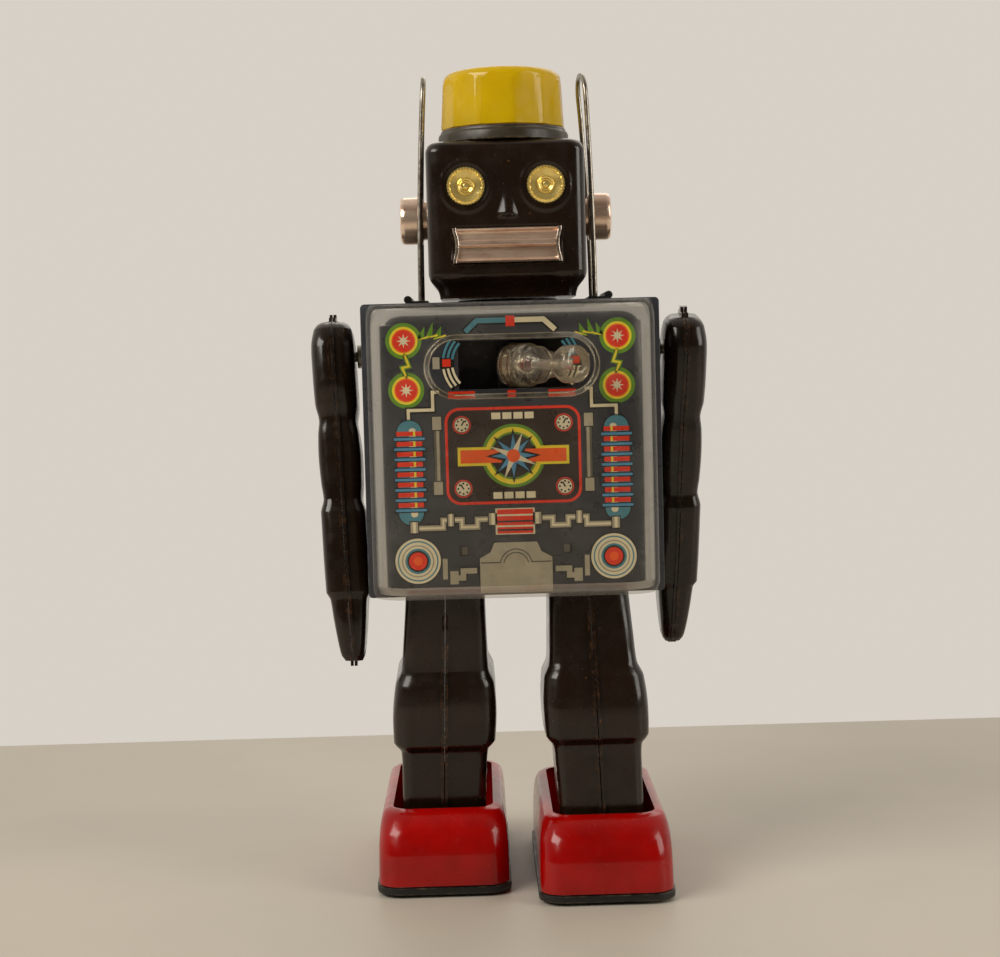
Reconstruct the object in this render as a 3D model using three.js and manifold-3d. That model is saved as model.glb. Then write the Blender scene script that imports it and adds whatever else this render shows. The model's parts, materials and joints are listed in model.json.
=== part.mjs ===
// Walking tin robot: pressed tin shells over a battery motor, a crank that swings the legs and arms,
// a clear chest cover with a swivelling lamp gun behind it, and a lamp dome on the head.
//
// Frame: millimetres, +Z up, the robot faces -Y and its left side is +X. The origin is on the floor,
// under the centre of its footprint. The legs and arms stand part way through a stride.

import * as THREE from "three";
import { mergeVertices } from "three/addons/utils/BufferGeometryUtils.js";
import Module from "manifold-3d";

const wasm = await Module();
wasm.setup();

// ---------------------------------------------------------------------------- driving dimensions

const GAP = 0.3; // between pieces that touch
const TIN = 0.8; // thickness of the pressed shells
const DEG = Math.PI / 180;

// Stance: the left leg is this far forward, the right leg as far back.
const STRIDE = 4.5; // degrees at rest
const STRIDE_LIMIT = 10; // degrees at full stride
const ARM_PER_LEG = 2; // degrees of arm for each degree of leg, in the opposite sense
const CRANK_PER_LEG = 9; // degrees of crank for each degree of leg

// Torso
const TORSO_W = 84;
const TORSO_FRONT = -27;
const TORSO_BACK = 33;
const TORSO_BOTTOM = 87;
const TORSO_TOP = 171.9;
const PANEL_W = 86;
const PANEL_T = 0.8;
const WINDOW_Z = 153.3; // centre height of the gun window
const WINDOW_X = [-15.2, 16.8];
const WINDOW_H = 14;
const COVER_W = 82.8;
const COVER_DEPTH = 11.4;
const COVER_T = 1.1;
const COVER_SLOT_W = 46.4; // the rounded slot in the clear cover
const COVER_SLOT_H = 15.6;
const COVER_BEAD = 2; // width of the rolled bead round that slot

// Legs and feet
const LEG_X = 20.8; // at the hip
const SPLAY = 2.6; // the legs stand this much further apart at the ankle
const FOOT_X = LEG_X + SPLAY;
const HIP_Y = -10;
const LEG_L = 82; // hip pin to ankle pin
const ANKLE_Z = 12;
const HIP_Z = ANKLE_Z + LEG_L * Math.cos(STRIDE * DEG);
const SHOE_L = 81;
const SHOE_W = 38.2;
const SHOE_TOP = 24;
const SOLE_BOTTOM = 1;
const SOLE_T = 2;
const ROLLER_R = 4;
const ROLLER_Y = 24;

// Arms
const SHOULDER_Y = 3;
const SHOULDER_Z = 157;
const ARM_X = 53.1;
const ARM_T = 12.8; // thickness at the shoulder

// Head
const HEAD_W = 46.6;
const HEAD_D = 42;
const HEAD_Y = 3;
const HEAD_BOTTOM = 173.3;
const HEAD_TOP = 219.2;
const LAMP_TOP = 241;
const EAR_Z = 197.4;
const EAR_R = 7.5;
const EYE_X = 11.7;
const EYE_Z = 205.7;
const EYE_R = 6.2;
const MOUTH_Z = 188.4;

// Drive
const LEVER_L = 14; // hip pin to crank centre
const CRANK_R = LEVER_L * Math.sin(STRIDE_LIMIT * DEG);
const CRANK = { y: HIP_Y, z: HIP_Z + LEVER_L };
const MODULE = 0.5;
const PINION_TEETH = 10;
const WHEEL_TEETH = 30;
const MOTOR = { y: -17, z: 126, r: 9.5 };

// Batteries
const CELL_R = 16.9;
const CELL_H = 60.5;
const CELL_X = 17.4;
const CELL_Y = 14.4;
const CELL_Z = 106;

// Gun
const GUN_Y = -20;
const GUN_REST = 42; // degrees towards the robot's left

// ---------------------------------------------------------------------------- solids

const solidFrom = (geometry) => {
  const flat = geometry.index ? geometry.toNonIndexed() : geometry;
  const bare = new THREE.BufferGeometry().setAttribute("position", flat.getAttribute("position"));
  const merged = mergeVertices(bare, 1e-4);
  const index = merged.index.array;
  const kept = [];
  for (let i = 0; i < index.length; i += 3) {
    const [a, b, c] = [index[i], index[i + 1], index[i + 2]];
    if (a !== b && b !== c && c !== a) kept.push(a, b, c);
  }
  return new wasm.Manifold(
    new wasm.Mesh({
      numProp: 3,
      vertProperties: merged.attributes.position.array,
      triVerts: new Uint32Array(kept),
    }),
  );
};

const geometryFrom = (made) => {
  const mesh = made.getMesh();
  const positions = new Float32Array(mesh.triVerts.length * 3);
  mesh.triVerts.forEach((vertex, i) => {
    const at = vertex * mesh.numProp;
    positions.set(mesh.vertProperties.subarray(at, at + 3), i * 3);
  });
  const geometry = new THREE.BufferGeometry();
  geometry.setAttribute("position", new THREE.BufferAttribute(positions, 3));
  geometry.computeVertexNormals();
  return geometry;
};

const join = (...solids) => solids.reduce((all, next) => all.add(next));
const cut = (from, ...solids) => solids.reduce((left, next) => left.subtract(next), from);

// A box from its lowest to its highest corner.
const block = (x0, x1, y0, y1, z0, z1) => {
  const box = new THREE.BoxGeometry(x1 - x0, y1 - y0, z1 - z0);
  return solidFrom(box.translate((x0 + x1) / 2, (y0 + y1) / 2, (z0 + z1) / 2));
};

// Turns a geometry made along +Z so that it runs along the named axis.
const along = (geometry, axis) => {
  if (axis === "x") return geometry.rotateY(Math.PI / 2);
  if (axis === "y") return geometry.rotateX(-Math.PI / 2);
  return geometry;
};

const onAxis = (axis, from, u, v) => {
  if (axis === "x") return [from, u, v];
  if (axis === "y") return [u, from, v];
  return [u, v, from];
};

// A round bar along an axis, from one end to the other, centred on (u, v) of the other two axes.
const rod = (axis, radius, from, to, u, v, sides = 20, farRadius = radius) => {
  const bar = new THREE.CylinderGeometry(farRadius, radius, to - from, sides);
  bar.rotateX(Math.PI / 2);
  return solidFrom(along(bar, axis).translate(...onAxis(axis, (from + to) / 2, u, v)));
};

// A body of revolution about +Z, from [radius, height] points going round the section.
const turned = (points, sides = 32) => {
  const profile = points.map(([r, z]) => new THREE.Vector2(r, z));
  const round = new THREE.LatheGeometry(profile, sides).rotateX(Math.PI / 2);
  const made = solidFrom(round);
  return made.volume() < 0 ? solidFrom(flipped(round)) : made;
};

const flipped = (geometry) => {
  const flat = geometry.index ? geometry.toNonIndexed() : geometry;
  const p = flat.getAttribute("position");
  for (let i = 0; i < p.count; i += 3) {
    const [x, y, z] = [p.getX(i), p.getY(i), p.getZ(i)];
    p.setXYZ(i, p.getX(i + 1), p.getY(i + 1), p.getZ(i + 1));
    p.setXYZ(i + 1, x, y, z);
  }
  return flat;
};

const roundedRect = (width, height, radius) => {
  const [w, h] = [width / 2, height / 2];
  const shape = new THREE.Shape();
  shape.moveTo(-w + radius, -h);
  shape.lineTo(w - radius, -h);
  shape.absarc(w - radius, -h + radius, radius, -Math.PI / 2, 0);
  shape.lineTo(w, h - radius);
  shape.absarc(w - radius, h - radius, radius, 0, Math.PI / 2);
  shape.lineTo(-w + radius, h);
  shape.absarc(-w + radius, h - radius, radius, Math.PI / 2, Math.PI);
  shape.lineTo(-w, -h + radius);
  shape.absarc(-w + radius, -h + radius, radius, Math.PI, Math.PI * 1.5);
  return shape;
};

// An XZ outline made into a slab from y0 to y1, with its front edges rounded by a bevel if given.
const frontSlab = (shape, y0, y1, curveSegments = 4) => {
  const slab = new THREE.ExtrudeGeometry(shape, { depth: y1 - y0, bevelEnabled: false, curveSegments });
  return solidFrom(slab.rotateX(Math.PI / 2).translate(0, y1, 0));
};

// A ring of points round a rectangle with cut or rounded corners, at one height.
const ringPoints = ({ z, x0, x1, y0, y1, r }, cornerSteps) => {
  const corners = [
    [x1 - r, y1 - r, 0],
    [x0 + r, y1 - r, 90],
    [x0 + r, y0 + r, 180],
    [x1 - r, y0 + r, 270],
  ];
  return corners.flatMap(([cx, cy, start]) =>
    Array.from({ length: cornerSteps + 1 }, (_, i) => {
      const angle = (start + (90 * i) / cornerSteps) * DEG;
      return [cx + r * Math.cos(angle), cy + r * Math.sin(angle), z];
    }),
  );
};

// A closed body through a stack of rings, from the lowest up.
const loft = (sections, cornerSteps = 3) => {
  const rings = sections.map((section) => ringPoints(section, cornerSteps));
  const count = rings[0].length;
  const triangles = [];
  rings.slice(1).forEach((upper, k) => {
    const lower = rings[k];
    for (let i = 0; i < count; i += 1) {
      const j = (i + 1) % count;
      triangles.push(lower[i], lower[j], upper[j], lower[i], upper[j], upper[i]);
    }
  });
  const [bottom, top] = [rings[0], rings[rings.length - 1]];
  for (let i = 1; i < count - 1; i += 1) {
    triangles.push(bottom[0], bottom[i + 1], bottom[i], top[0], top[i], top[i + 1]);
  }
  const geometry = new THREE.BufferGeometry();
  geometry.setAttribute("position", new THREE.Float32BufferAttribute(triangles.flat(), 3));
  return solidFrom(geometry);
};

// The same stack of rings, every side moved in by the wall and the ends moved by the given amounts.
const inset = (sections, wall, bottom = wall, top = wall) =>
  sections.map((s, i) => ({
    z: s.z + (i === 0 ? bottom : 0) - (i === sections.length - 1 ? top : 0),
    x0: s.x0 + wall,
    x1: s.x1 - wall,
    y0: s.y0 + wall,
    y1: s.y1 - wall,
    r: Math.max(s.r - wall, 0.2),
  }));

const section = (z, halfWidth, y0, y1, r) => ({ z, x0: -halfWidth, x1: halfWidth, y0, y1, r });

// A bar of round section along a curve.
const wire = (curve, radius, steps, sides = 8) => {
  const round = new THREE.Shape();
  for (let i = 0; i < sides; i += 1) {
    const angle = (i / sides) * 2 * Math.PI;
    const [x, y] = [radius * Math.cos(angle), radius * Math.sin(angle)];
    if (i === 0) round.moveTo(x, y);
    else round.lineTo(x, y);
  }
  round.closePath();
  return solidFrom(new THREE.ExtrudeGeometry(round, { steps, extrudePath: curve, bevelEnabled: false }));
};

// ---------------------------------------------------------------------------- the assembly

const robot = new THREE.Group();

const addTo = (group, name, made, colour, roughness = 0.35, metalness = 0) => {
  const material = new THREE.MeshStandardMaterial({ color: colour, roughness, metalness });
  const mesh = new THREE.Mesh(geometryFrom(made), material);
  mesh.name = name;
  group.add(mesh);
};

const BROWN = 0x2a1f18;
const RED = 0xa3120c;
const BLACK = 0x141414;
const STEEL = 0x9a9a98;
const CHROME = 0xc9c2b8;
const BRASS = 0xb08d3c;
const CLEAR = 0xd8d8d0;

const SIDES = [
  { name: "left", sign: 1 },
  { name: "right", sign: -1 },
];

// ---------------------------------------------------------------------------- torso

const torsoMid = (TORSO_FRONT + TORSO_BACK) / 2;
const torsoHeight = TORSO_TOP - TORSO_BOTTOM;
const torsoZ = (TORSO_TOP + TORSO_BOTTOM) / 2;
const DOOR = { w: 72, z0: 100, z1: 167.6, t: 0.8 };
const BOSS_R = 11;
const BOSS_T = 2.2;
const SWITCH = { x: 26, z: 93.6, travel: 6, slotH: 3 };

const makeTorsoShell = () => {
  const outline = roundedRect(TORSO_W, torsoHeight, 3);
  const outer = frontSlab(outline, TORSO_FRONT + GAP, TORSO_BACK).translate([0, 0, torsoZ]);
  const hollow = block(
    -TORSO_W / 2 + TIN,
    TORSO_W / 2 - TIN,
    TORSO_FRONT - 1,
    TORSO_BACK - TIN,
    TORSO_BOTTOM - 1,
    TORSO_TOP - TIN,
  );
  const bosses = SIDES.map(({ sign }) => {
    const [a, b] = [TORSO_W / 2 - 0.5, TORSO_W / 2 + BOSS_T].map((x) => x * sign);
    return rod("x", BOSS_R, Math.min(a, b), Math.max(a, b), SHOULDER_Y, SHOULDER_Z, 32);
  });
  const shoulderHoles = rod("x", 2, -50, 50, SHOULDER_Y, SHOULDER_Z, 16);
  const door = block(-DOOR.w / 2, DOOR.w / 2, TORSO_BACK - 3, TORSO_BACK + 1, DOOR.z0 + 1.5, DOOR.z1);
  const neck = rod("z", 15, TORSO_TOP - TIN, HEAD_BOTTOM - GAP, 0, HEAD_Y, 32);
  const wires = rod("z", 5, TORSO_TOP - 3, TORSO_TOP + 3, 0, HEAD_Y, 16);
  const slot = block(
    SWITCH.x - 2.4,
    SWITCH.x + SWITCH.travel + 2.4,
    TORSO_BACK - 3,
    TORSO_BACK + 1,
    SWITCH.z - SWITCH.slotH / 2,
    SWITCH.z + SWITCH.slotH / 2,
  );
  return cut(join(outer, ...bosses, neck), hollow, shoulderHoles, door, wires, slot);
};

const makeTorsoBase = () => {
  const edge = TIN + GAP;
  const plate = block(
    -TORSO_W / 2 + edge,
    TORSO_W / 2 - edge,
    TORSO_FRONT + GAP,
    TORSO_BACK - edge,
    TORSO_BOTTOM,
    TORSO_BOTTOM + TIN,
  );
  const legHoles = SIDES.map(({ sign }) =>
    block(sign * LEG_X - 13.1, sign * LEG_X + 13.1, HIP_Y - 20, HIP_Y + 18.4, TORSO_BOTTOM - 1, TORSO_BOTTOM + 2),
  );
  return cut(plate, ...legHoles);
};

const makeFrontPanel = () => {
  const sheet = frontSlab(roundedRect(PANEL_W, torsoHeight, 1.2), TORSO_FRONT - PANEL_T, TORSO_FRONT, 2);
  const window = block(...WINDOW_X, TORSO_FRONT - 3, TORSO_FRONT + 1, -WINDOW_H / 2, WINDOW_H / 2);
  return cut(sheet.translate([0, 0, torsoZ]), window.translate([0, 0, WINDOW_Z + 0.4]));
};

// The clear cover is a shallow tray with wide rounded sides, open at the back.
const coverBack = TORSO_FRONT - PANEL_T - GAP;
const coverFront = coverBack - COVER_DEPTH;
const coverTop = TORSO_TOP - 0.4;
const coverBottom = TORSO_BOTTOM + 0.2;

const makeChestCover = () => {
  const trayAt = (grow, front, z0, z1) => {
    const halfW = COVER_W / 2 - grow;
    const sections = [
      section(z0, halfW - 0.6, front + 2.6, coverBack + 9.4, 9.3),
      section(z0 + 2.6, halfW, front, coverBack + 9.4, 9.4),
      section(z1 - 5, halfW, front, coverBack + 9.4, 9.4),
      section(z1 - 1.6, halfW - 0.2, front + 2.4, coverBack + 9.4, 9.3),
      section(z1, halfW - 0.6, front + 5.2, coverBack + 9.4, 9.3),
    ];
    return loft(sections, 5);
  };
  const outer = trayAt(0, coverFront, coverBottom, coverTop);
  const inner = trayAt(COVER_T, coverFront + COVER_T, coverBottom + COVER_T, coverTop - COVER_T);
  const behind = block(-60, 60, coverBack, coverBack + 20, coverBottom - 5, coverTop + 5);
  const slotAt = (grow, y0, y1) =>
    frontSlab(
      roundedRect(COVER_SLOT_W + 2 * grow, COVER_SLOT_H + 2 * grow, COVER_SLOT_H / 2 + grow - 0.01),
      y0,
      y1,
      6,
    ).translate([0, 0, WINDOW_Z]);
  const bead = slotAt(COVER_BEAD, coverFront - 0.9, coverFront + COVER_T);
  return cut(join(cut(outer, inner), bead), slotAt(0, coverFront - 3, coverFront + 3), behind);
};

const makeGunHousing = () => {
  const [w, d, z0, z1] = [20, 15.6, WINDOW_Z - 9.2, WINDOW_Z + 9.5];
  const front = TORSO_FRONT + GAP;
  const shell = block(-w, w, front, front + d, z0, z1);
  const hollow = block(-w + TIN, w - TIN, front - 1, front + d - TIN, z0 + TIN, z1 - TIN);
  return cut(shell, hollow, rod("z", 1.5, z0 - 1, z0 + 3, 0, GUN_Y, 16));
};

const makeBatteryDoor = () => {
  const y0 = TORSO_BACK + GAP;
  const plate = frontSlab(roundedRect(DOOR.w + 3, DOOR.z1 - DOOR.z0, 2.5), y0, y0 + DOOR.t, 3);
  const placed = plate.translate([0, 0, (DOOR.z1 + DOOR.z0) / 2 + 0.6]);
  const ribs = [-24, -8, 8, 24].map((x) => block(x - 1.2, x + 1.2, y0 + 0.5, y0 + 1.6, DOOR.z0 + 10, DOOR.z1 - 14));
  const thumbTab = block(-7, 7, y0 + 0.4, y0 + 3.2, DOOR.z1 - 4, DOOR.z1 - 2.6);
  const hinge = rod("x", 1.1, -30, 30, y0 + 1.1, DOOR.z0 + 0.6, 12);
  return join(placed, ...ribs, thumbTab, hinge);
};

const makeSwitchKnob = () => {
  const stem = block(SWITCH.x - 2, SWITCH.x + 2, TORSO_BACK - 2.2, TORSO_BACK + 2, SWITCH.z - 1.2, SWITCH.z + 1.2);
  const knob = block(SWITCH.x - 2.6, SWITCH.x + 2.6, TORSO_BACK + GAP, TORSO_BACK + 3, SWITCH.z - 2.6, SWITCH.z + 2.6);
  const foot = block(
    SWITCH.x - 3,
    SWITCH.x + 3,
    TORSO_BACK - 2.4,
    TORSO_BACK - TIN - GAP,
    SWITCH.z - 2.6,
    SWITCH.z + 2.6,
  );
  return join(stem, knob, foot);
};

// ---------------------------------------------------------------------------- head

const headFront = HEAD_Y - HEAD_D / 2;
const headBack = HEAD_Y + HEAD_D / 2;
const HEAD_SPLIT = headBack - 8; // where the rear cap meets the face shell

const headSections = () => {
  const half = HEAD_W / 2;
  return [
    section(HEAD_BOTTOM, half - 3.2, headFront + 3, headBack - 2.4, 4),
    section(HEAD_BOTTOM + 2, half - 2.8, headFront + 2.4, headBack - 1.8, 4),
    section(HEAD_BOTTOM + 5.8, half - 0.3, headFront + 0.3, headBack - 0.2, 4.2),
    section(HEAD_BOTTOM + 7.4, half, headFront, headBack, 4.2),
    section(HEAD_TOP - 3.2, half, headFront, headBack, 4.2),
    section(HEAD_TOP - 1, half - 0.9, headFront + 0.9, headBack - 0.9, 4),
    section(HEAD_TOP, half - 2.8, headFront + 2.8, headBack - 2.8, 3),
  ];
};

const makeHead = () => {
  const outer = headSections();
  const lampHole = rod("z", 8, HEAD_TOP - 4, HEAD_TOP + 3, 0, HEAD_Y, 20);
  const wireHole = rod("z", 5, HEAD_BOTTOM - 3, HEAD_BOTTOM + 4, 0, HEAD_Y, 16);
  return cut(loft(outer, 4), loft(inset(outer, TIN), 4), lampHole, wireHole);
};

const makeNose = () => {
  const width = 3.2;
  const [top, bottom] = [EYE_Z - 0.4, EYE_Z - 9.4];
  const tip = [0, headFront - 3.2, bottom + 1.6];
  const back = headFront + 0.5;
  const base = [
    [0, back, top],
    [-width, back, bottom],
    [width, back, bottom],
  ];
  const faces = [base[0], base[1], tip, base[1], base[2], tip, base[2], base[0], tip, base[0], base[2], base[1]];
  const geometry = new THREE.BufferGeometry();
  geometry.setAttribute("position", new THREE.Float32BufferAttribute(faces.flat(), 3));
  const made = solidFrom(geometry);
  return made.volume() < 0 ? solidFrom(flipped(geometry)) : made;
};

const makeFaceShell = () => {
  const front = cut(makeHead(), block(-60, 60, HEAD_SPLIT, 60, 150, 230));
  const brows = SIDES.map(({ sign }) =>
    rod("y", EYE_R + 2, headFront - 0.7, headFront + 0.5, sign * EYE_X, EYE_Z, 28, EYE_R + 1.4),
  );
  const sockets = SIDES.map(({ sign }) =>
    rod("y", EYE_R + 0.5, headFront - 3, headFront + 3, sign * EYE_X, EYE_Z, 28),
  );
  return cut(join(front, ...brows, makeNose()), ...sockets);
};

const makeHeadCap = () => cut(makeHead(), block(-60, 60, -60, HEAD_SPLIT + GAP, 150, 230));

const makeEye = (sign) => {
  const cup = turned(
    [
      [0, -1.2],
      [EYE_R, -1.2],
      [EYE_R, 0.9],
      [4.2, 1.5],
      [3.6, 0.8],
      [2.6, 0.9],
      [1.2, 1.9],
      [0, 2.1],
    ],
    24,
  );
  return cup.rotate([90, 0, 0]).translate([sign * EYE_X, headFront - 0.3, EYE_Z]);
};

const makeMouthPlate = () => {
  const [halfW, halfH] = [16.1, 5.3];
  const front = headFront - GAP;
  const plate = block(-halfW, halfW, front - 1.1, front, MOUTH_Z - halfH, MOUTH_Z + halfH);
  const ridge = rod("x", 0.9, -halfW + 1.6, halfW - 1.6, front - 1.2, MOUTH_Z + 0.4, 12);
  const lips = [-1, 1].map((s) => block(-halfW, halfW, front - 1.7, front - 0.5, MOUTH_Z + s * halfH - 0.4, MOUTH_Z + s * halfH + 0.4));
  const ends = [-1, 1].map((s) => rod("z", 1.5, MOUTH_Z - halfH - 1, MOUTH_Z + halfH + 1, s * (halfW + 0.9), front - 2.2, 12));
  return cut(join(plate, ridge, ...lips), ...ends);
};

const makeEar = (sign) => {
  const inner = HEAD_W / 2 + GAP;
  const cap = turned(
    [
      [0, 0],
      [EAR_R - 1.4, 0],
      [EAR_R - 1.4, 1.2],
      [EAR_R, 1.4],
      [EAR_R, 6.8],
      [EAR_R - 0.5, 7.7],
      [EAR_R - 1.4, 8.1],
      [EAR_R - 2.4, 7.8],
      [0, 7.6],
    ],
    28,
  );
  return cap.rotate([0, sign * 90, 0]).translate([sign * inner, HEAD_Y, EAR_Z]);
};

const COLLAR_Z = HEAD_TOP + GAP;
const DOME_Z = COLLAR_Z + 4.6;

const makeLampCollar = () =>
  turned(
    [
      [8.6, COLLAR_Z],
      [19.6, COLLAR_Z],
      [19.6, COLLAR_Z + 2.6],
      [19.1, COLLAR_Z + 3.4],
      [18.5, COLLAR_Z + 4.3],
      [17.2, COLLAR_Z + 4.3],
      [17.2, COLLAR_Z + 1],
      [8.6, COLLAR_Z + 1],
      [8.6, COLLAR_Z],
    ],
    36,
  ).translate([0, HEAD_Y, 0]);

// Twelve flat facets cut into a tapered cup with a rounded shoulder.
const makeLampDome = () => {
  const height = LAMP_TOP - DOME_Z;
  const cup = turned(
    [
      [0, 0],
      [18.8, 0],
      [17.8, height - 3],
      [17.2, height - 1.4],
      [16, height - 0.4],
      [14.2, height],
      [0, height],
    ],
    36,
  );
  const facets = new THREE.CylinderGeometry(17.4 / Math.cos(15 * DEG), 18.2 / Math.cos(15 * DEG), height, 12);
  facets.rotateX(Math.PI / 2).rotateZ(8 * DEG).translate(0, 0, height / 2);
  const hollow = turned(
    [
      [0, -1],
      [16.6, -1],
      [15.5, height - 3.4],
      [13.4, height - 1.2],
      [0, height - 1.2],
    ],
    24,
  );
  return cut(cup.intersect(solidFrom(facets)), hollow).translate([0, HEAD_Y, DOME_Z]);
};

const makeLampSocket = () =>
  turned(
    [
      [0, HEAD_TOP - 9],
      [3, HEAD_TOP - 9],
      [3, HEAD_TOP - 4],
      [5.2, HEAD_TOP - 4],
      [5.2, HEAD_TOP - 2],
      [3.4, HEAD_TOP - 2],
      [3.4, HEAD_TOP + 4],
      [0, HEAD_TOP + 4],
    ],
    20,
  ).translate([0, HEAD_Y, 0]);

const makeLampBulb = () =>
  turned(
    [
      [0, HEAD_TOP + 4 + GAP],
      [2.8, HEAD_TOP + 4 + GAP],
      [3, HEAD_TOP + 6.5],
      [5, HEAD_TOP + 9.5],
      [5.3, HEAD_TOP + 12],
      [4, HEAD_TOP + 15.2],
      [1.6, HEAD_TOP + 16.8],
      [0, HEAD_TOP + 17],
    ],
    20,
  ).translate([0, HEAD_Y, 0]);

// ---------------------------------------------------------------------------- aerials

const AERIAL_X = 26;
const AERIAL_TOP_X = 23.6; // they lean in towards the head as they rise
const AERIAL_TOP = 239.8;
const AERIAL_HALF = 9.5; // half the spread of the two wires
const AERIAL_WIRE = 0.75;

class Hairpin extends THREE.Curve {
  constructor(sign, twist) {
    super();
    Object.assign(this, { sign, twist });
  }

  // Up the front wire, over a round top and down the rear wire; t runs evenly along the length.
  getPoint(t, target = new THREE.Vector3()) {
    const topR = 7;
    const straight = AERIAL_TOP - topR - TORSO_TOP + 1;
    const arc = Math.PI * topR;
    const total = 2 * straight + arc;
    const s = t * total;
    let [y, z] = [0, 0];
    if (s < straight || s > straight + arc) {
      const up = s < straight ? s : total - s;
      const side = s < straight ? -1 : 1;
      y = side * (AERIAL_HALF + ((topR - AERIAL_HALF) * up) / straight);
      z = TORSO_TOP - 1 + up;
    } else {
      const angle = (s - straight) / topR;
      y = -topR * Math.cos(angle);
      z = AERIAL_TOP - topR + topR * Math.sin(angle);
    }
    const rise = Math.max(0, (z - TORSO_TOP) / (AERIAL_TOP - TORSO_TOP)) ** 2;
    const turn = this.twist * rise * DEG;
    const x = this.sign * (AERIAL_X + (AERIAL_TOP_X - AERIAL_X) * rise);
    return target.set(x - y * Math.sin(turn), HEAD_Y + y * Math.cos(turn), z);
  }
}

const makeAerial = (sign) => {
  const twist = sign > 0 ? 7 : 1;
  return wire(new Hairpin(sign, twist), AERIAL_WIRE, 34, 7);
};

const aerialHoles = SIDES.flatMap(({ sign }) =>
  [-1, 1].map((end) =>
    rod("z", AERIAL_WIRE + 0.4, TORSO_TOP - 4, TORSO_TOP + 4, sign * AERIAL_X, HEAD_Y + end * AERIAL_HALF, 12),
  ),
);

// A pressed strap with a rolled outer edge that clamps both wires to the shoulder.
const makeClip = (sign) => {
  const x = sign * AERIAL_X;
  const z = TORSO_TOP + GAP;
  const [near, far] = [x - sign * 2.2, x + sign * 3.8];
  const half = AERIAL_HALF + 4;
  const strap = block(Math.min(near, far), Math.max(near, far), HEAD_Y - half, HEAD_Y + half, z, z + 0.8);
  const roll = rod("y", 1.2, HEAD_Y - half, HEAD_Y + half, far, z + 1.2, 10);
  return cut(join(strap, roll), ...aerialHoles);
};

// ---------------------------------------------------------------------------- gun

const makeGunShaft = () => {
  const floor = WINDOW_Z - 8;
  const post = rod("z", 1.1, floor - 5.7, floor + 0.7, 0, 0, 14);
  const lever = block(-1.8, 1.8, 0, 9, floor - 5.5, floor - 4.3);
  const table = rod("z", 4.6, floor, floor + 1.2, 0, 0, 20);
  const backPlate = block(-4.8, 4.8, -0.4, 0.6, floor + 0.3, WINDOW_Z + 5.5);
  const rear = rod("y", 3, 0, 3.6, 0, WINDOW_Z, 16);
  return join(post, lever, table, backPlate, rear);
};

const gunSpan = { disc: -1.8, body: -9.4, barrel: -20.6, tip: -28 };

const makeGunReflector = () => {
  const disc = rod("y", 6.4, gunSpan.disc, -0.4 - GAP, 0, WINDOW_Z, 28);
  return disc;
};

const makeGunBarrel = () => {
  const start = gunSpan.disc - GAP;
  const body = rod("y", 5.8, gunSpan.body, start, 0, WINDOW_Z, 20);
  const fins = [-3.4, -5.4, -7.4].map((y) => rod("y", 6.4, y - 0.5, y + 0.5, 0, WINDOW_Z, 20));
  const barrel = rod("y", 3.9, gunSpan.barrel - 2, gunSpan.body + 1, 0, WINDOW_Z, 20, 3.1);
  const muzzle = turned(
    [
      [0, 0],
      [4.4, 0],
      [5.2, 1],
      [5.2, 5],
      [4.6, 6],
      [0, 6],
    ],
    24,
  )
    .rotate([90, 0, 0])
    .translate([0, gunSpan.tip + 6, WINDOW_Z]);
  const bore = rod("y", 1.7, gunSpan.tip - 1, gunSpan.body + 2, 0, WINDOW_Z, 16);
  const lampSpace = rod("y", 3.6, gunSpan.body + 1.2, start + 1, 0, WINDOW_Z, 16);
  return cut(join(body, ...fins, barrel, muzzle), bore, lampSpace);
};

const makeGunBulb = () =>
  turned(
    [
      [0, 0],
      [2.6, 0],
      [2.6, 3],
      [2.2, 4.6],
      [1.2, 5.5],
      [0, 5.7],
    ],
    16,
  )
    .rotate([90, 0, 0])
    .translate([0, gunSpan.disc - GAP, WINDOW_Z]);

// ---------------------------------------------------------------------------- drive

// A spur gear about +X, with thin teeth so that a meshed pair has working backlash.
const gearShape = (teeth, phase) => {
  const pitch = (MODULE * teeth) / 2;
  const [tip, root] = [pitch + MODULE * 0.85, pitch - MODULE * 1.15];
  const step = (2 * Math.PI) / teeth;
  const shape = new THREE.Shape();
  for (let i = 0; i < teeth; i += 1) {
    const middle = phase + i * step;
    const half = [
      [root, -0.27],
      [tip, -0.1],
      [tip, 0.1],
      [root, 0.27],
    ];
    half.forEach(([radius, share], k) => {
      const angle = middle + share * step;
      const point = [radius * Math.cos(angle), radius * Math.sin(angle)];
      if (i === 0 && k === 0) shape.moveTo(...point);
      else shape.lineTo(...point);
    });
  }
  shape.closePath();
  return shape;
};

// The shape's own x runs along +Y and its y along +Z.
const gear = (teeth, phase, from, to, { y, z }) => {
  const wheel = new THREE.ExtrudeGeometry(gearShape(teeth, phase), { depth: to - from, bevelEnabled: false });
  wheel.rotateZ(Math.PI / 2).rotateY(Math.PI / 2);
  return solidFrom(wheel).translate([from, y, z]);
};

const bearing = (a, b) => Math.atan2(b.z - a.z, b.y - a.y);
const meshDistance = (teeth, otherTeeth) => (MODULE * (teeth + otherTeeth)) / 2;

// The idler's centre, from its distances to the crank and to the motor.
const idlerCentre = () => {
  const toCrank = meshDistance(WHEEL_TEETH, WHEEL_TEETH);
  const toMotor = meshDistance(WHEEL_TEETH, PINION_TEETH);
  const apart = Math.hypot(MOTOR.y - CRANK.y, MOTOR.z - CRANK.z);
  const turn = Math.acos((toCrank ** 2 + apart ** 2 - toMotor ** 2) / (2 * toCrank * apart));
  const angle = bearing(CRANK, MOTOR) - turn;
  return { y: CRANK.y + toCrank * Math.cos(angle), z: CRANK.z + toCrank * Math.sin(angle) };
};

const IDLER = idlerCentre();

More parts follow.
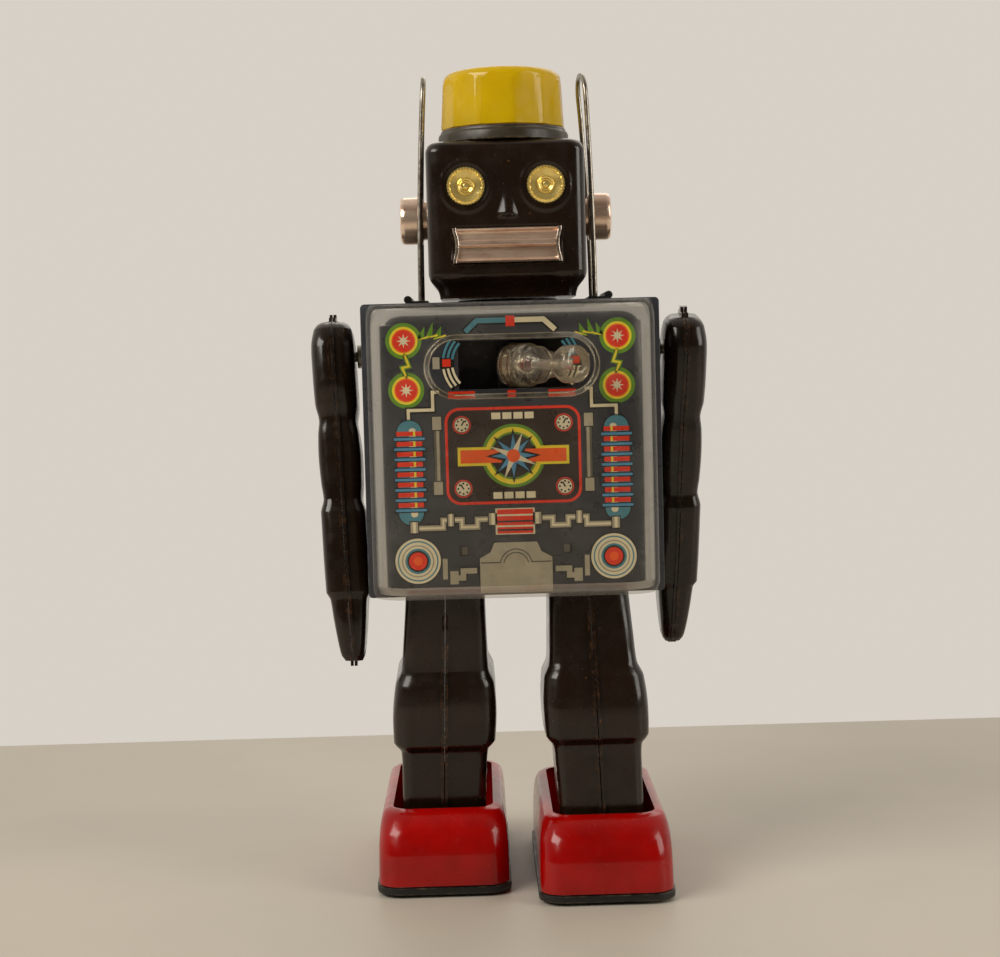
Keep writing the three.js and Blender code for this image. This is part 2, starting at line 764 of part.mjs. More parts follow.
// The angle of a gear's first tooth that puts it in mesh with a gear already placed.
const meshPhase = (phase, teeth, from, otherTeeth, to) => {
  const line = bearing(from, to);
  const share = ((line - phase) * teeth) / (2 * Math.PI);
  return line + Math.PI + ((share + 0.5) * 2 * Math.PI) / otherTeeth;
};

const IDLER_PHASE = meshPhase(0, WHEEL_TEETH, CRANK, WHEEL_TEETH, IDLER);
const PINION_PHASE = meshPhase(IDLER_PHASE, WHEEL_TEETH, IDLER, PINION_TEETH, MOTOR);
const GEAR_X = [-1.5, 1.5];

const makeCrankGear = () => {
  const wheel = gear(WHEEL_TEETH, 0, ...GEAR_X, CRANK);
  return cut(wheel, rod("x", 1.2 + GAP, -5, 5, CRANK.y, CRANK.z, 16));
};

const makeCrankShaft = () => {
  const angle = CRANK_PER_LEG * STRIDE * DEG;
  const axle = rod("x", 1.2, -9, 9, CRANK.y, CRANK.z, 16);
  const ends = SIDES.flatMap(({ sign }) => {
    const pinY = CRANK.y + sign * CRANK_R * Math.sin(angle);
    const pinZ = CRANK.z + sign * CRANK_R * Math.cos(angle);
    const span = (a, b) => [Math.min(sign * a, sign * b), Math.max(sign * a, sign * b)];
    return [
      rod("x", 4.2, ...span(8, 9.2), CRANK.y, CRANK.z, 20),
      rod("x", 1, ...span(9, 13.2), pinY, pinZ, 12),
    ];
  });
  return join(axle, ...ends);
};

const makeIdler = () =>
  join(
    gear(WHEEL_TEETH, IDLER_PHASE, ...GEAR_X, IDLER),
    rod("x", 0.9, -6.8, 6.8, IDLER.y, IDLER.z, 12),
    rod("x", 2.4, -3, 3, IDLER.y, IDLER.z, 16),
  );

const makeMotorPinion = () =>
  join(
    gear(PINION_TEETH, PINION_PHASE, ...GEAR_X, MOTOR),
    rod("x", 0.8, -1.4, 10, MOTOR.y, MOTOR.z, 12),
  );

const FRAME_X = [6, 6.8];
const frameOutline = { y0: TORSO_FRONT + 1.2, y1: -3.2, z0: TORSO_BOTTOM + TIN + GAP, z1: 138.4 };

const makeFrame = (sign) => {
  const [x0, x1] = sign > 0 ? FRAME_X : [-FRAME_X[1], -FRAME_X[0]];
  const { y0, y1, z0, z1 } = frameOutline;
  const plate = block(x0, x1, y0, y1, z0, z1);
  const pillars = [
    [y0 + 3, z0 + 4],
    [y0 + 3, z1 - 3],
  ].map(([y, z]) => rod("x", 1.3, -FRAME_X[0] + GAP, FRAME_X[0] + 0.2, y, z, 12));
  const holes = [
    rod("x", 1.6, -12, 12, HIP_Y, HIP_Z, 16),
    rod("x", 1.5, -12, 12, CRANK.y, CRANK.z, 16),
    rod("x", 1.2, -12, 12, IDLER.y, IDLER.z, 12),
    rod("x", 1.2, -12, 12, MOTOR.y, MOTOR.z, 12),
  ];
  const body = sign > 0 ? join(plate, ...pillars) : plate;
  return cut(body, ...holes);
};

const makeMotor = () => {
  const { y, z, r } = MOTOR;
  const can = rod("x", r, FRAME_X[1] + GAP, 31, y, z, 32);
  const boss = rod("x", 3.2, 30.5, 32.6, y, z, 20);
  return cut(join(can, boss), rod("x", 1.2, 0, 11, y, z, 12));
};

const makeHipAxle = () => rod("x", 1.35, -38, 38, HIP_Y, HIP_Z, 16);

// ---------------------------------------------------------------------------- batteries

const makeCell = (sign) => {
  const can = turned(
    [
      [0, 0],
      [CELL_R - 0.8, 0],
      [CELL_R, 0.8],
      [CELL_R, CELL_H - 2.4],
      [CELL_R - 1, CELL_H - 1.6],
      [4.6, CELL_H - 1.6],
      [4.6, CELL_H - 0.4],
      [4, CELL_H],
      [0, CELL_H],
    ],
    32,
  );
  const turnedOver = sign > 0 ? can : can.rotate([180, 0, 0]).translate([0, 0, CELL_H]);
  return turnedOver.translate([sign * CELL_X, CELL_Y, CELL_Z]);
};

const makeBatteryTray = () => {
  const half = TORSO_W / 2 - TIN - GAP;
  const top = CELL_Z - 3.8;
  const tray = block(-half, half, -2.8, TORSO_BACK - TIN - GAP, top - 1.3, top);
  const rails = [-26, 26].map((x) => block(x - 8, x + 8, -3.4, -2.6, top - 1.3, top + 3.2));
  return join(tray, ...rails);
};

class Coil extends THREE.Curve {
  getPoint(t, target = new THREE.Vector3()) {
    const turns = 2.5;
    const radius = 6.2 - 2.2 * t;
    const angle = 2 * Math.PI * turns * t;
    return target.set(radius * Math.cos(angle), radius * Math.sin(angle), 2.1 * t);
  }
}

const makeContactSpring = (sign) =>
  wire(new Coil(), 0.4, 30, 5).translate([sign * CELL_X, CELL_Y, CELL_Z - 3.05]);

const makeContactStrip = () => {
  const z = CELL_Z + CELL_H + GAP;
  return block(-CELL_X - 6, CELL_X + 6, CELL_Y - 5, CELL_Y + 5, z, z + 0.6);
};

// ---------------------------------------------------------------------------- arms

const ARM_LEN = 91.8; // shoulder pin to finger tips

// The arm leans in towards the leg, by this much at a height measured from the shoulder.
const leanAt = (z) => {
  const down = Math.max(0, -z);
  return down < 20 ? down * 0.05 : 1 + (down - 20) * 0.043;
};

const armSections = (grow) => {
  const t = ARM_T / 2;
  const s = (z, half, y0, y1, r) => ({
    z,
    x0: -half - leanAt(z),
    x1: half - leanAt(z),
    y0: y0 - grow,
    y1: y1 + grow,
    r: r + grow,
  });
  return [
    s(-ARM_LEN - grow, 2.6, -4, 3.4, 2),
    s(-ARM_LEN + 4, 3.8, -6.8, 6.2, 2.6),
    s(-79, 4.9, -8.4, 8, 3),
    s(-73.2, 5.5, -8.6, 8.4, 3),
    s(-72, 6.5, -9.8, 9.6, 3.4),
    s(-60, 6.6, -10.4, 10.2, 3.6),
    s(-47.4, 6.6, -9.8, 9.8, 3.4),
    s(-44.6, 6, -8.8, 9, 3),
    s(-32, 5.9, -8.9, 10.8, 3),
    s(-18.6, 5.9, -8.6, 9.2, 3),
    s(-15.6, 6.3, -9.8, 10, 3.6),
    s(-8, t, -11.4, 11.4, 4.4),
    s(2, t, -11, 11, 4.6),
    s(7.6, t - 0.7, -8.6, 8.6, 4),
    s(10 + 1.6 * grow, t - 2.4, -5, 5, 3),
  ];
};

// Each arm is an inner and an outer pressing, crimped together along a raised seam.
const makeArmHalves = (sign) => {
  const body = loft(armSections(0), 2);
  const hollow = loft(inset(armSections(0), TIN), 2);
  const seamBand = (halfT) => armSections(0.9).map((s) => {
    const middle = -leanAt(s.z);
    return { ...s, x0: middle - halfT, x1: middle + halfT, r: Math.min(0.3, halfT / 2) };
  });
  const seam = loft(seamBand(0.9), 1);
  const claw = rod("x", 2.6, -20, 20, -1.6, -ARM_LEN + 0.8, 16);
  const clawMouth = block(-20, 20, -4.2, 1, -ARM_LEN - 4, -ARM_LEN + 0.8);
  const whole = cut(join(body, seam), hollow, claw, clawMouth);
  const splitBand = (from, to) =>
    loft(
      armSections(3).map((s) => ({ ...s, x0: -leanAt(s.z) + from, x1: -leanAt(s.z) + to, r: 0.05 })),
      1,
    );
  const reach = 14;
  const parts = {
    outer: whole.intersect(splitBand(GAP / 2, reach)),
    inner: cut(whole.intersect(splitBand(-reach, -GAP / 2)), rod("x", 1.6 + GAP / 2, -20, 0, 0, 0, 14)),
  };
  const turn = (made) => (sign > 0 ? made : made.mirror([1, 0, 0]));
  return { outer: turn(parts.outer), inner: turn(parts.inner) };
};

// A headed pin from inside the torso to inside the arm, with a washer between the two.
const makeArmPin = (sign) => {
  const disc = (radius, from, thickness) =>
    rod("x", radius, from - ARM_X, from + thickness - ARM_X, 0, 0, 18);
  const armSkin = ARM_X - ARM_T / 2 + TIN + GAP;
  const shank = rod("x", 1.6, 38.4 - ARM_X, armSkin + 1 - ARM_X, 0, 0, 14);
  const washer = disc(3.6, TORSO_W / 2 + BOSS_T + GAP, 1.4);
  const made = join(shank, disc(3.4, 38.4, 1.4), disc(3, armSkin, 1.3), washer);
  return sign > 0 ? made : made.mirror([1, 0, 0]);
};

// ---------------------------------------------------------------------------- legs

// Heights are measured from the hip pin; the ankle pin is at -LEG_L. The leg leans outwards.
const splayAt = (z) => (-z / LEG_L) * SPLAY;

const legSections = (grow) =>
  [
    [-87, 12.2, -15.4, 15.4, 3.4],
    [-57, 12.6, -15.9, 15.9, 3.4],
    [-54.6, 12.9, -16.2, 16.2, 3.6],
    [-52, 15, -18.6, 18, 5],
    [-43, 15.3, -19.2, 18.6, 5.4],
    [-34, 14.6, -18, 17.6, 5],
    [-30, 12.9, -16.2, 16.2, 4],
    [-20, 12.3, -15.6, 15.6, 4],
    [-7, 11.7, -14.5, 14.5, 4.6],
    [4, 11.4, -13.4, 13.4, 4.6],
  ].map(([z, half, y0, y1, r]) => {
    const out = splayAt(z);
    return { z, x0: out - half, x1: out + half, y0: y0 - grow, y1: y1 + grow, r };
  });

// A flat plane up the middle of the leg, as a slab from one distance off it to another.
const legSlab = (from, to, y0, y1, z0, z1) => {
  const at = (z) => ({ z, x0: splayAt(z) + from, x1: splayAt(z) + to, y0, y1, r: 0.05 });
  return loft([at(z0), at(z1)], 1);
};

const makeLegHalves = (sign) => {
  const outer = loft(legSections(0), 2);
  const hollow = loft(inset(legSections(0), TIN, TIN, -1), 2);
  const seam = loft(legSections(0.9), 1).intersect(legSlab(-0.8, 0.8, -40, 40, -85, -13));
  const slots = [-66, -60.6, -56].map((z) => block(-17, -7, -13, -10.8, z - 1.4, z + 1.2));
  const pins = [
    rod("x", 1.35 + GAP, -30, 30, 0, 0, 16),
    rod("x", 1.2 + GAP, -30, 30, 0, -LEG_L, 16),
  ];
  const whole = cut(join(outer, seam), hollow, ...pins, ...slots);
  const turn = (made) => (sign > 0 ? made : made.mirror([1, 0, 0]));
  return {
    outer: turn(whole.intersect(legSlab(GAP / 2, 30, -40, 40, -100, 20))),
    inner: turn(whole.intersect(legSlab(-30, -GAP / 2, -40, 40, -100, 20))),
  };
};

// The lever inside each leg, forked round the crank pin.
const makeLegLever = (sign) => {
  const x = (distance) => sign * (distance - LEG_X);
  const [x0, x1] = [Math.min(x(11.9), x(12.9)), Math.max(x(11.9), x(12.9))];
  const forkTop = LEVER_L + CRANK_R + 1.6;
  const arm = block(x0, x1, -3.2, 3.2, -3.6, forkTop);
  const slot = block(x0 - 1, x1 + 1, -1.8, 1.8, LEVER_L - CRANK_R - 1.8, forkTop + 1);
  return cut(arm, slot, rod("x", 1.35 + GAP, x0 - 1, x1 + 1, 0, 0, 16));
};

// ---------------------------------------------------------------------------- feet

// Measured from the ankle pin along Y, with Z on the floor.
const shoeY = -HIP_Y; // the shoe's middle lies behind the ankle pin

const shoeSections = () => {
  const [half, reach] = [SHOE_W / 2, SHOE_L / 2];
  const z0 = SOLE_BOTTOM + SOLE_T + GAP;
  const s = (z, w, front, back, r) => section(z, w, shoeY - front, shoeY + back, r);
  return [
    s(z0, half, reach, reach, 6.4),
    s(12, half - 0.1, reach - 0.6, reach - 0.6, 6.8),
    s(17.6, half - 0.4, reach - 2.2, reach - 1.6, 7.2),
    s(21, half - 0.9, reach - 4.6, reach - 2.8, 7.4),
    s(23.2, half - 1.8, reach - 7, reach - 4.4, 7),
    s(SHOE_TOP, half - 3.2, reach - 8.6, reach - 6, 6),
  ];
};

const makeShoe = () => {
  const outer = shoeSections();
  return cut(loft(outer, 4), loft(inset(outer, 1.1, -1, -1), 4));
};

const makeSole = (ankleDrop) => {
  const [w, l] = [SHOE_W + 1, SHOE_L + 1];
  const top = SOLE_BOTTOM + SOLE_T;
  const edge = { x0: -w / 2, x1: w / 2, y0: shoeY - l / 2, y1: shoeY + l / 2, r: 7 };
  const plate = loft([{ z: SOLE_BOTTOM, ...edge }, { z: top, ...edge }], 4);
  const skids = [-10, 10].map((x) => rod("z", 1.6, 0, SOLE_BOTTOM + 0.5, x, shoeY - 30, 14, 3));
  const ankleEars = [-1, 1].map((s) => block(s * 14.6 - 0.5, s * 14.6 + 0.5, -3.5, 3.5, top - 0.5, ankleDrop + 3));
  const rollerY = shoeY + ROLLER_Y;
  const rollerEars = [-1, 1].map((s) => block(s * 13 - 0.6, s * 13 + 0.6, rollerY - 2.6, rollerY + 2.6, top - 0.5, 6.6));
  const rollerSlots = [-1, 1].map((s) =>
    block(s * 8 - 2.6, s * 8 + 2.6, rollerY - 4.4, rollerY + 4.4, SOLE_BOTTOM - 1, top + 1),
  );
  const holes = [
    rod("x", 1.2 + GAP, -20, 20, 0, ankleDrop, 14),
    rod("x", 0.9 + GAP, -20, 20, rollerY, ROLLER_R, 12),
  ];
  return cut(join(plate, ...skids, ...ankleEars, ...rollerEars), ...rollerSlots, ...holes);
};

const makeAnklePin = () => {
  const pin = rod("x", 1.2, -15.8, 15.8, 0, 0, 14);
  const heads = [-1, 1].map((s) => rod("x", 1.9, s * 15.8 - 0.35, s * 15.8 + 0.35, 0, 0, 14));
  return join(pin, ...heads);
};

const makeRoller = () => {
  const axle = rod("x", 0.9, -14.2, 14.2, 0, 0, 12);
  const wheels = [-8, 8].map((x) => rod("x", ROLLER_R, x - 2.1, x + 2.1, 0, 0, 24));
  return join(axle, ...wheels);
};

// ---------------------------------------------------------------------------- putting it together

const place = (x, y, z, angle = 0) => {
  const group = new THREE.Group();
  group.position.set(x, y, z);
  group.rotation.x = angle * DEG;
  robot.add(group);
  return group;
};

const addTorso = () => {
  addTo(robot, "torso_shell", cut(makeTorsoShell(), ...aerialHoles), BROWN);
  addTo(robot, "torso_base", makeTorsoBase(), BROWN);
  addTo(robot, "front_panel", makeFrontPanel(), 0x39434c);
  addTo(robot, "chest_cover", makeChestCover(), CLEAR, 0.1);
  addTo(robot, "gun_housing", makeGunHousing(), BLACK);
  addTo(robot, "battery_door", makeBatteryDoor(), BROWN);
  addTo(robot, "switch_knob", makeSwitchKnob(), BLACK);
};

const addHead = () => {
  addTo(robot, "head_face_shell", makeFaceShell(), BROWN);
  addTo(robot, "head_rear_cap", makeHeadCap(), BROWN);
  addTo(robot, "mouth_plate", makeMouthPlate(), CHROME, 0.25, 1);
  addTo(robot, "lamp_collar", makeLampCollar(), 0x3a3833);
  addTo(robot, "lamp_dome", makeLampDome(), 0xd9b40f, 0.2);
  addTo(robot, "lamp_socket", makeLampSocket(), BRASS, 0.3, 1);
  addTo(robot, "lamp_bulb", makeLampBulb(), CLEAR, 0.05);
  SIDES.forEach(({ name, sign }) => {
    addTo(robot, `eye_${name}`, makeEye(sign), 0xd8b25a, 0.25, 1);
    addTo(robot, `ear_${name}`, makeEar(sign), CHROME, 0.3, 1);
    addTo(robot, `aerial_${name}`, makeAerial(sign), STEEL, 0.4, 1);
    addTo(robot, `aerial_clip_${name}`, makeClip(sign), BLACK);
  });
};

const addGun = () => {
  const gun = place(0, GUN_Y, 0);
  gun.rotation.set(0, 0, GUN_REST * DEG);
  addTo(gun, "gun_bracket", makeGunShaft(), BLACK);
  addTo(gun, "gun_reflector", makeGunReflector(), CHROME, 0.3, 1);
  addTo(gun, "gun_barrel", makeGunBarrel(), CLEAR, 0.05);
  addTo(gun, "gun_bulb", makeGunBulb(), 0xb02020, 0.1);
};

const addDrive = () => {
  addTo(robot, "gear_frame_left", makeFrame(1), STEEL, 0.4, 1);
  addTo(robot, "gear_frame_right", makeFrame(-1), STEEL, 0.4, 1);
  addTo(robot, "hip_axle", makeHipAxle(), STEEL, 0.3, 1);
  addTo(robot, "crank_shaft", makeCrankShaft(), STEEL, 0.3, 1);
  addTo(robot, "crank_gear", makeCrankGear(), BRASS, 0.4, 1);
  addTo(robot, "idler_gear", makeIdler(), BRASS, 0.4, 1);
  addTo(robot, "motor_pinion", makeMotorPinion(), BRASS, 0.4, 1);
  addTo(robot, "motor_can", makeMotor(), STEEL, 0.3, 1);
};

const addBatteries = () => {
  addTo(robot, "battery_tray", makeBatteryTray(), 0x5a4632);
  addTo(robot, "contact_strip", makeContactStrip(), BRASS, 0.3, 1);
  SIDES.forEach(({ name, sign }) => {
    addTo(robot, `battery_${name}`, makeCell(sign), 0x3c5a78);
    addTo(robot, `contact_spring_${name}`, makeContactSpring(sign), STEEL, 0.3, 1);
  });
};

const addArm = ({ name, sign }) => {
  const arm = place(sign * ARM_X, SHOULDER_Y, SHOULDER_Z, sign * ARM_PER_LEG * STRIDE);
  const halves = makeArmHalves(sign);
  addTo(arm, `arm_${name}_outer`, halves.outer, BROWN);
  addTo(arm, `arm_${name}_inner`, halves.inner, BROWN);
  addTo(arm, `arm_${name}_pin`, makeArmPin(sign), STEEL, 0.3, 1);
};

const addLegAndFoot = ({ name, sign }) => {
  const swing = -sign * STRIDE;
  const leg = place(sign * LEG_X, HIP_Y, HIP_Z, swing);
  const halves = makeLegHalves(sign);
  addTo(leg, `leg_${name}_outer`, halves.outer, BROWN);
  addTo(leg, `leg_${name}_inner`, halves.inner, BROWN);
  addTo(leg, `leg_${name}_lever`, makeLegLever(sign), STEEL, 0.3, 1);
  const ankleY = HIP_Y + LEG_L * Math.sin(swing * DEG);
  const foot = place(sign * FOOT_X, ankleY, 0);
  addTo(foot, `shoe_${name}`, makeShoe(), RED, 0.25);
  addTo(foot, `sole_${name}`, makeSole(ANKLE_Z), BLACK, 0.5);
  addTo(foot, `ankle_pin_${name}`, makeAnklePin().translate([0, 0, ANKLE_Z]), STEEL, 0.3, 1);
  addTo(foot, `roller_${name}`, makeRoller().translate([0, shoeY + ROLLER_Y, ROLLER_R]), BLACK, 0.8);
};

addTorso();
addHead();
addGun();
addDrive();
addBatteries();
SIDES.forEach(addArm);
SIDES.forEach(addLegAndFoot);

export default robot;
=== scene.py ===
"""The looks of a walking tin robot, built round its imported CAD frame.

Lengths in the tables below are millimetres in the row frame: +Z up, the robot faces -Y, its left is +X.
"""

import json
import math

import bmesh
import bpy
from mathutils import Matrix, Vector


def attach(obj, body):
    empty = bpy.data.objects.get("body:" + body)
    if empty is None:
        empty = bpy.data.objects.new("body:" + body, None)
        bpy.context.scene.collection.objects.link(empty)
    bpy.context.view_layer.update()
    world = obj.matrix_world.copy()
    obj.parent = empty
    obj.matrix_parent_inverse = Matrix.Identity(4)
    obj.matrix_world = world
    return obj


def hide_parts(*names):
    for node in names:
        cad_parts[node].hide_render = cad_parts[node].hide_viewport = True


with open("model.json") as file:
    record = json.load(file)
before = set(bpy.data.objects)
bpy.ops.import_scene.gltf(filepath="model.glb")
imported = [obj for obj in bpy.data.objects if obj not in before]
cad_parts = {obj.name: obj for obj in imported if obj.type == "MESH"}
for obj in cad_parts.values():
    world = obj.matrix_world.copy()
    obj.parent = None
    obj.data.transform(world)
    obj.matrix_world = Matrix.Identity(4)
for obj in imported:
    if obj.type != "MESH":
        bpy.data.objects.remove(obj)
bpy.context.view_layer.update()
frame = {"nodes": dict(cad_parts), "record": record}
NODES = frame["nodes"]
RECORD = frame["record"]
SLOT_OF = {row["node"]: row["material_slot"] for row in RECORD["subparts"]}
BODY_OF = {}
for body_name, members in RECORD["behaviour"]["bodies"].items():
    for member in members:
        BODY_OF[member] = body_name

MM = 0.001
SIDES = (("left", 1), ("right", -1))

# Camera, from the proportions of the view
CAMERA_AT = (-9.9, -575.8, 156.5)
CAMERA_PAN = -0.61
CAMERA_TILT = 3.73
CAMERA_ROLL = -1.53
CAMERA_LENS = 68.4

# Stance, the same as in the CAD frame
STRIDE = 4.5
HIP = (20.8, -10, 93.747)
FOOT_X = 23.4
LEG_LENGTH = 82
SHOULDER = (53.1, 3, 157)
ARM_LENGTH = 91.8
GUN_Y = -20
GUN_AIM = 42
GUN_Z = 153.3

# Head
HEAD_FRONT = -18
HEAD_BACK = 24
HEAD_SPLIT = 16
HEAD_BOTTOM = 173.3
HEAD_TOP = 219.2
HEAD_Y = 3
EYE_X = 11.7
EYE_Z = 205.7
EYE_R = 5.65
MOUTH_Z = 188.4
EAR_Z = 197.4
COLLAR_Z = 219.5
DOME_Z = 224.1
LAMP_TOP = 241

PANEL_FACE = -27.8
SEAM_GAP = 0.15


# ------------------------------------------------------------------ node helpers


def linear(red, green, blue):
    """A display colour, 0 to 255, as linear light."""
    return tuple((channel / 255) ** 2.2 for channel in (red, green, blue)) + (1.0,)


def add_node(tree, kind, inputs=None, **settings):
    node = tree.nodes.new(kind)
    for key, value in settings.items():
        setattr(node, key, value)
    for key, value in (inputs or {}).items():
        if isinstance(value, bpy.types.NodeSocket):
            tree.links.new(value, node.inputs[key])
        else:
            node.inputs[key].default_value = value
    return node


def place_in(tree, stretch=(1, 1, 1)):
    """Object coordinates in metres, stretched along the axes."""
    source = add_node(tree, "ShaderNodeTexCoord")
    mapping = add_node(tree, "ShaderNodeMapping", {"Vector": source.outputs["Object"], "Scale": stretch})
    return mapping.outputs["Vector"]


def noise(tree, size, detail=4, stretch=(1, 1, 1), roughness=0.55):
    """Noise whose features are about size millimetres across."""
    inputs = {
        "Vector": place_in(tree, stretch),
        "Scale": 1000 / size,
        "Detail": detail,
        "Roughness": roughness,
    }
    return add_node(tree, "ShaderNodeTexNoise", inputs).outputs["Fac"]


def remap(tree, value, low, high, to_low=0.0, to_high=1.0):
    inputs = {"Value": value, "From Min": low, "From Max": high, "To Min": to_low, "To Max": to_high}
    return add_node(tree, "ShaderNodeMapRange", inputs).outputs["Result"]


def maths(tree, operation, a, b):
    node = add_node(tree, "ShaderNodeMath", {0: a, 1: b}, operation=operation)
    return node.outputs["Value"]


def blend_colour(tree, factor, a, b):
    node = add_node(tree, "ShaderNodeMix", {"Factor": factor}, data_type="RGBA")
    for socket, value in ((node.inputs[6], a), (node.inputs[7], b)):
        if isinstance(value, bpy.types.NodeSocket):
            tree.links.new(value, socket)
        else:
            socket.default_value = value
    return node.outputs[2]


def edge_mask(tree, radius):
    """1 where the surface turns sharply within this many millimetres."""
    rounded = add_node(tree, "ShaderNodeBevel", {"Radius": radius * MM}, samples=4)
    geometry = add_node(tree, "ShaderNodeNewGeometry")
    dot = add_node(tree, "ShaderNodeVectorMath", operation="DOT_PRODUCT")
    tree.links.new(rounded.outputs["Normal"], dot.inputs[0])
    tree.links.new(geometry.outputs["Normal"], dot.inputs[1])
    return remap(tree, dot.outputs["Value"], 0.99, 0.86)


def new_material(name, colour, roughness, metallic=0.0, **sockets):
    material = bpy.data.materials.new(name)
    material.use_nodes = True
    tree = material.node_tree
    shader = tree.nodes["Principled BSDF"]
    shader.inputs["Base Color"].default_value = colour
    shader.inputs["Roughness"].default_value = roughness
    shader.inputs["Metallic"].default_value = metallic
    for key, value in sockets.items():
        shader.inputs[key.replace("_", " ")].default_value = value
    return material, tree, shader


def shade(colour, factor):
    return tuple(channel * factor for channel in colour[:3]) + (1.0,)


def vary_colour(tree, colour, amount, size):
    """Slow light and dark patches."""
    patches = remap(tree, noise(tree, size), 0.3, 0.7)
    return blend_colour(tree, patches, shade(colour, 1 - amount), shade(colour, 1 + amount))


def vary_roughness(tree, shader, low, high, size):
    value = remap(tree, noise(tree, size, 6), 0.35, 0.65, low, high)
    tree.links.new(value, shader.inputs["Roughness"])


def set_bump(tree, shader, height, distance, strength=1.0):
    inputs = {"Height": height, "Distance": distance * MM, "Strength": strength}
    bump = add_node(tree, "ShaderNodeBump", inputs)
    tree.links.new(bump.outputs["Normal"], shader.inputs["Normal"])


# ------------------------------------------------------------------ materials


def painted_tin(name, colour, worn, rough=(0.16, 0.34), wear=0.5, **sockets):
    """Lacquered tinplate: slow dents, hairline scratches, small chips, and edges rubbed to worn."""
    material, tree, shader = new_material(name, colour, rough[0], **sockets)
    base = vary_colour(tree, colour, 0.22, 14)
    hairs = noise(tree, 1.6, 2, stretch=(6, 6, 0.35))
    scratched = remap(tree, hairs, 0.72, 0.78, 0.0, 0.35)
    specks = remap(tree, noise(tree, 1.1, 3), 0.72, 0.76)
    rub = remap(tree, noise(tree, 2.2, 6), 0.62 - 0.24 * wear, 0.7)
    rubbed = maths(tree, "MULTIPLY", edge_mask(tree, 0.7), rub)
    marks = maths(tree, "MAXIMUM", maths(tree, "MAXIMUM", scratched, rubbed), specks)
    final = blend_colour(tree, marks, base, worn)
    tree.links.new(final, shader.inputs["Base Color"])
    vary_roughness(tree, shader, rough[0], rough[1], 5)
    waves = noise(tree, 16, 1)
    fine = maths(tree, "MULTIPLY", marks, -0.06)
    set_bump(tree, shader, maths(tree, "ADD", waves, fine), 0.5, 0.5)
    return material


def bare_metal(
    name, colour, tarnish, rough=(0.12, 0.3), patch=4.0, amount=0.5, stretch=(1, 1, 1), metallic=1.0
):
    """Plated or bare metal with cloudy tarnish, fine pits and rubbed roughness."""
    material, tree, shader = new_material(name, colour, rough[0], metallic)
    clouds = remap(tree, noise(tree, patch, 6, stretch, 0.65), 0.45, 0.75, 0.0, amount)
    pits = remap(tree, noise(tree, 0.7, 2), 0.7, 0.76, 0.0, 0.8)
    dirty = maths(tree, "MAXIMUM", clouds, pits)
    tree.links.new(blend_colour(tree, dirty, colour, tarnish), shader.inputs["Base Color"])
    vary_roughness(tree, shader, rough[0], rough[1], 2.5)
    sunk = maths(tree, "MULTIPLY", pits, -0.4)
    set_bump(tree, shader, maths(tree, "ADD", noise(tree, 3, 2), sunk), 0.06, 0.6)
    return material


def moulded(name, colour, rough=(0.3, 0.5), grain=0.6, **sockets):
    """Moulded plastic, rubber or board: faint mottling and a fine grain."""
    material, tree, shader = new_material(name, colour, rough[0], **sockets)
    base = vary_colour(tree, colour, 0.16, 9)
    dust = remap(tree, noise(tree, 1.4, 5), 0.64, 0.74, 0.0, 0.3)
    tree.links.new(blend_colour(tree, dust, base, linear(128, 120, 104)), shader.inputs["Base Color"])
    vary_roughness(tree, shader, rough[0], rough[1], 3)
    set_bump(tree, shader, noise(tree, grain, 3), 0.08, 0.5)
    return material


def clear_shell(name, tint, gloss_roughness, haze, ior=1.4, sheen=0.25):
    """Thin clear plastic.

    Light passes straight through, and where the surface turns away it mirrors a little and whitens with a
    painted sheen, a lit milky layer standing in for reflections of the room.
    """
    material, tree, shader = new_material(name, tint, gloss_roughness, IOR=1.35)
    shader.inputs["Specular IOR Level"].default_value = 0.6
    see_through = add_node(tree, "ShaderNodeBsdfTransparent", {"Color": tint})
    gloss = add_node(tree, "ShaderNodeBsdfGlossy", {"Color": linear(244, 238, 226)})
    worn = remap(tree, noise(tree, 6, 6), 0.4, 0.7, gloss_roughness, gloss_roughness + 0.1)
    tree.links.new(worn, gloss.inputs["Roughness"])
    scratch = remap(tree, noise(tree, 1.2, 2, stretch=(5, 5, 0.4)), 0.74, 0.8, 0.0, 0.12)
    fresnel = add_node(tree, "ShaderNodeFresnel", {"IOR": ior}).outputs["Fac"]
    mirror = maths(tree, "MULTIPLY", fresnel, sheen)
    first = add_node(tree, "ShaderNodeMixShader", {"Fac": mirror})
    tree.links.new(see_through.outputs[0], first.inputs[1])
    tree.links.new(gloss.outputs[0], first.inputs[2])
    cloudy = maths(tree, "MULTIPLY", remap(tree, noise(tree, 9, 5), 0.45, 0.8), haze)
    # cloudy is random haze and scratch is wear; the fresnel share mixed in here is painted sheen, whitening
    # the shell where it turns away
    haze_and_sheen = maths(tree, "ADD", maths(tree, "MULTIPLY", fresnel, 0.22), cloudy)
    dust_and_sheen = maths(tree, "MINIMUM", maths(tree, "ADD", haze_and_sheen, scratch), 1.0)
    second = add_node(tree, "ShaderNodeMixShader", {"Fac": dust_and_sheen})
    tree.links.new(first.outputs[0], second.inputs[1])
    tree.links.new(shader.outputs[0], second.inputs[2])
    ripple = {"Height": noise(tree, 18, 1), "Distance": 0.4 * MM, "Strength": 0.35}
    bump = add_node(tree, "ShaderNodeBump", ripple)
    for node in (gloss, shader):
        tree.links.new(bump.outputs["Normal"], node.inputs["Normal"])
    tree.links.new(second.outputs[0], tree.nodes["Material Output"].inputs["Surface"])
    return material


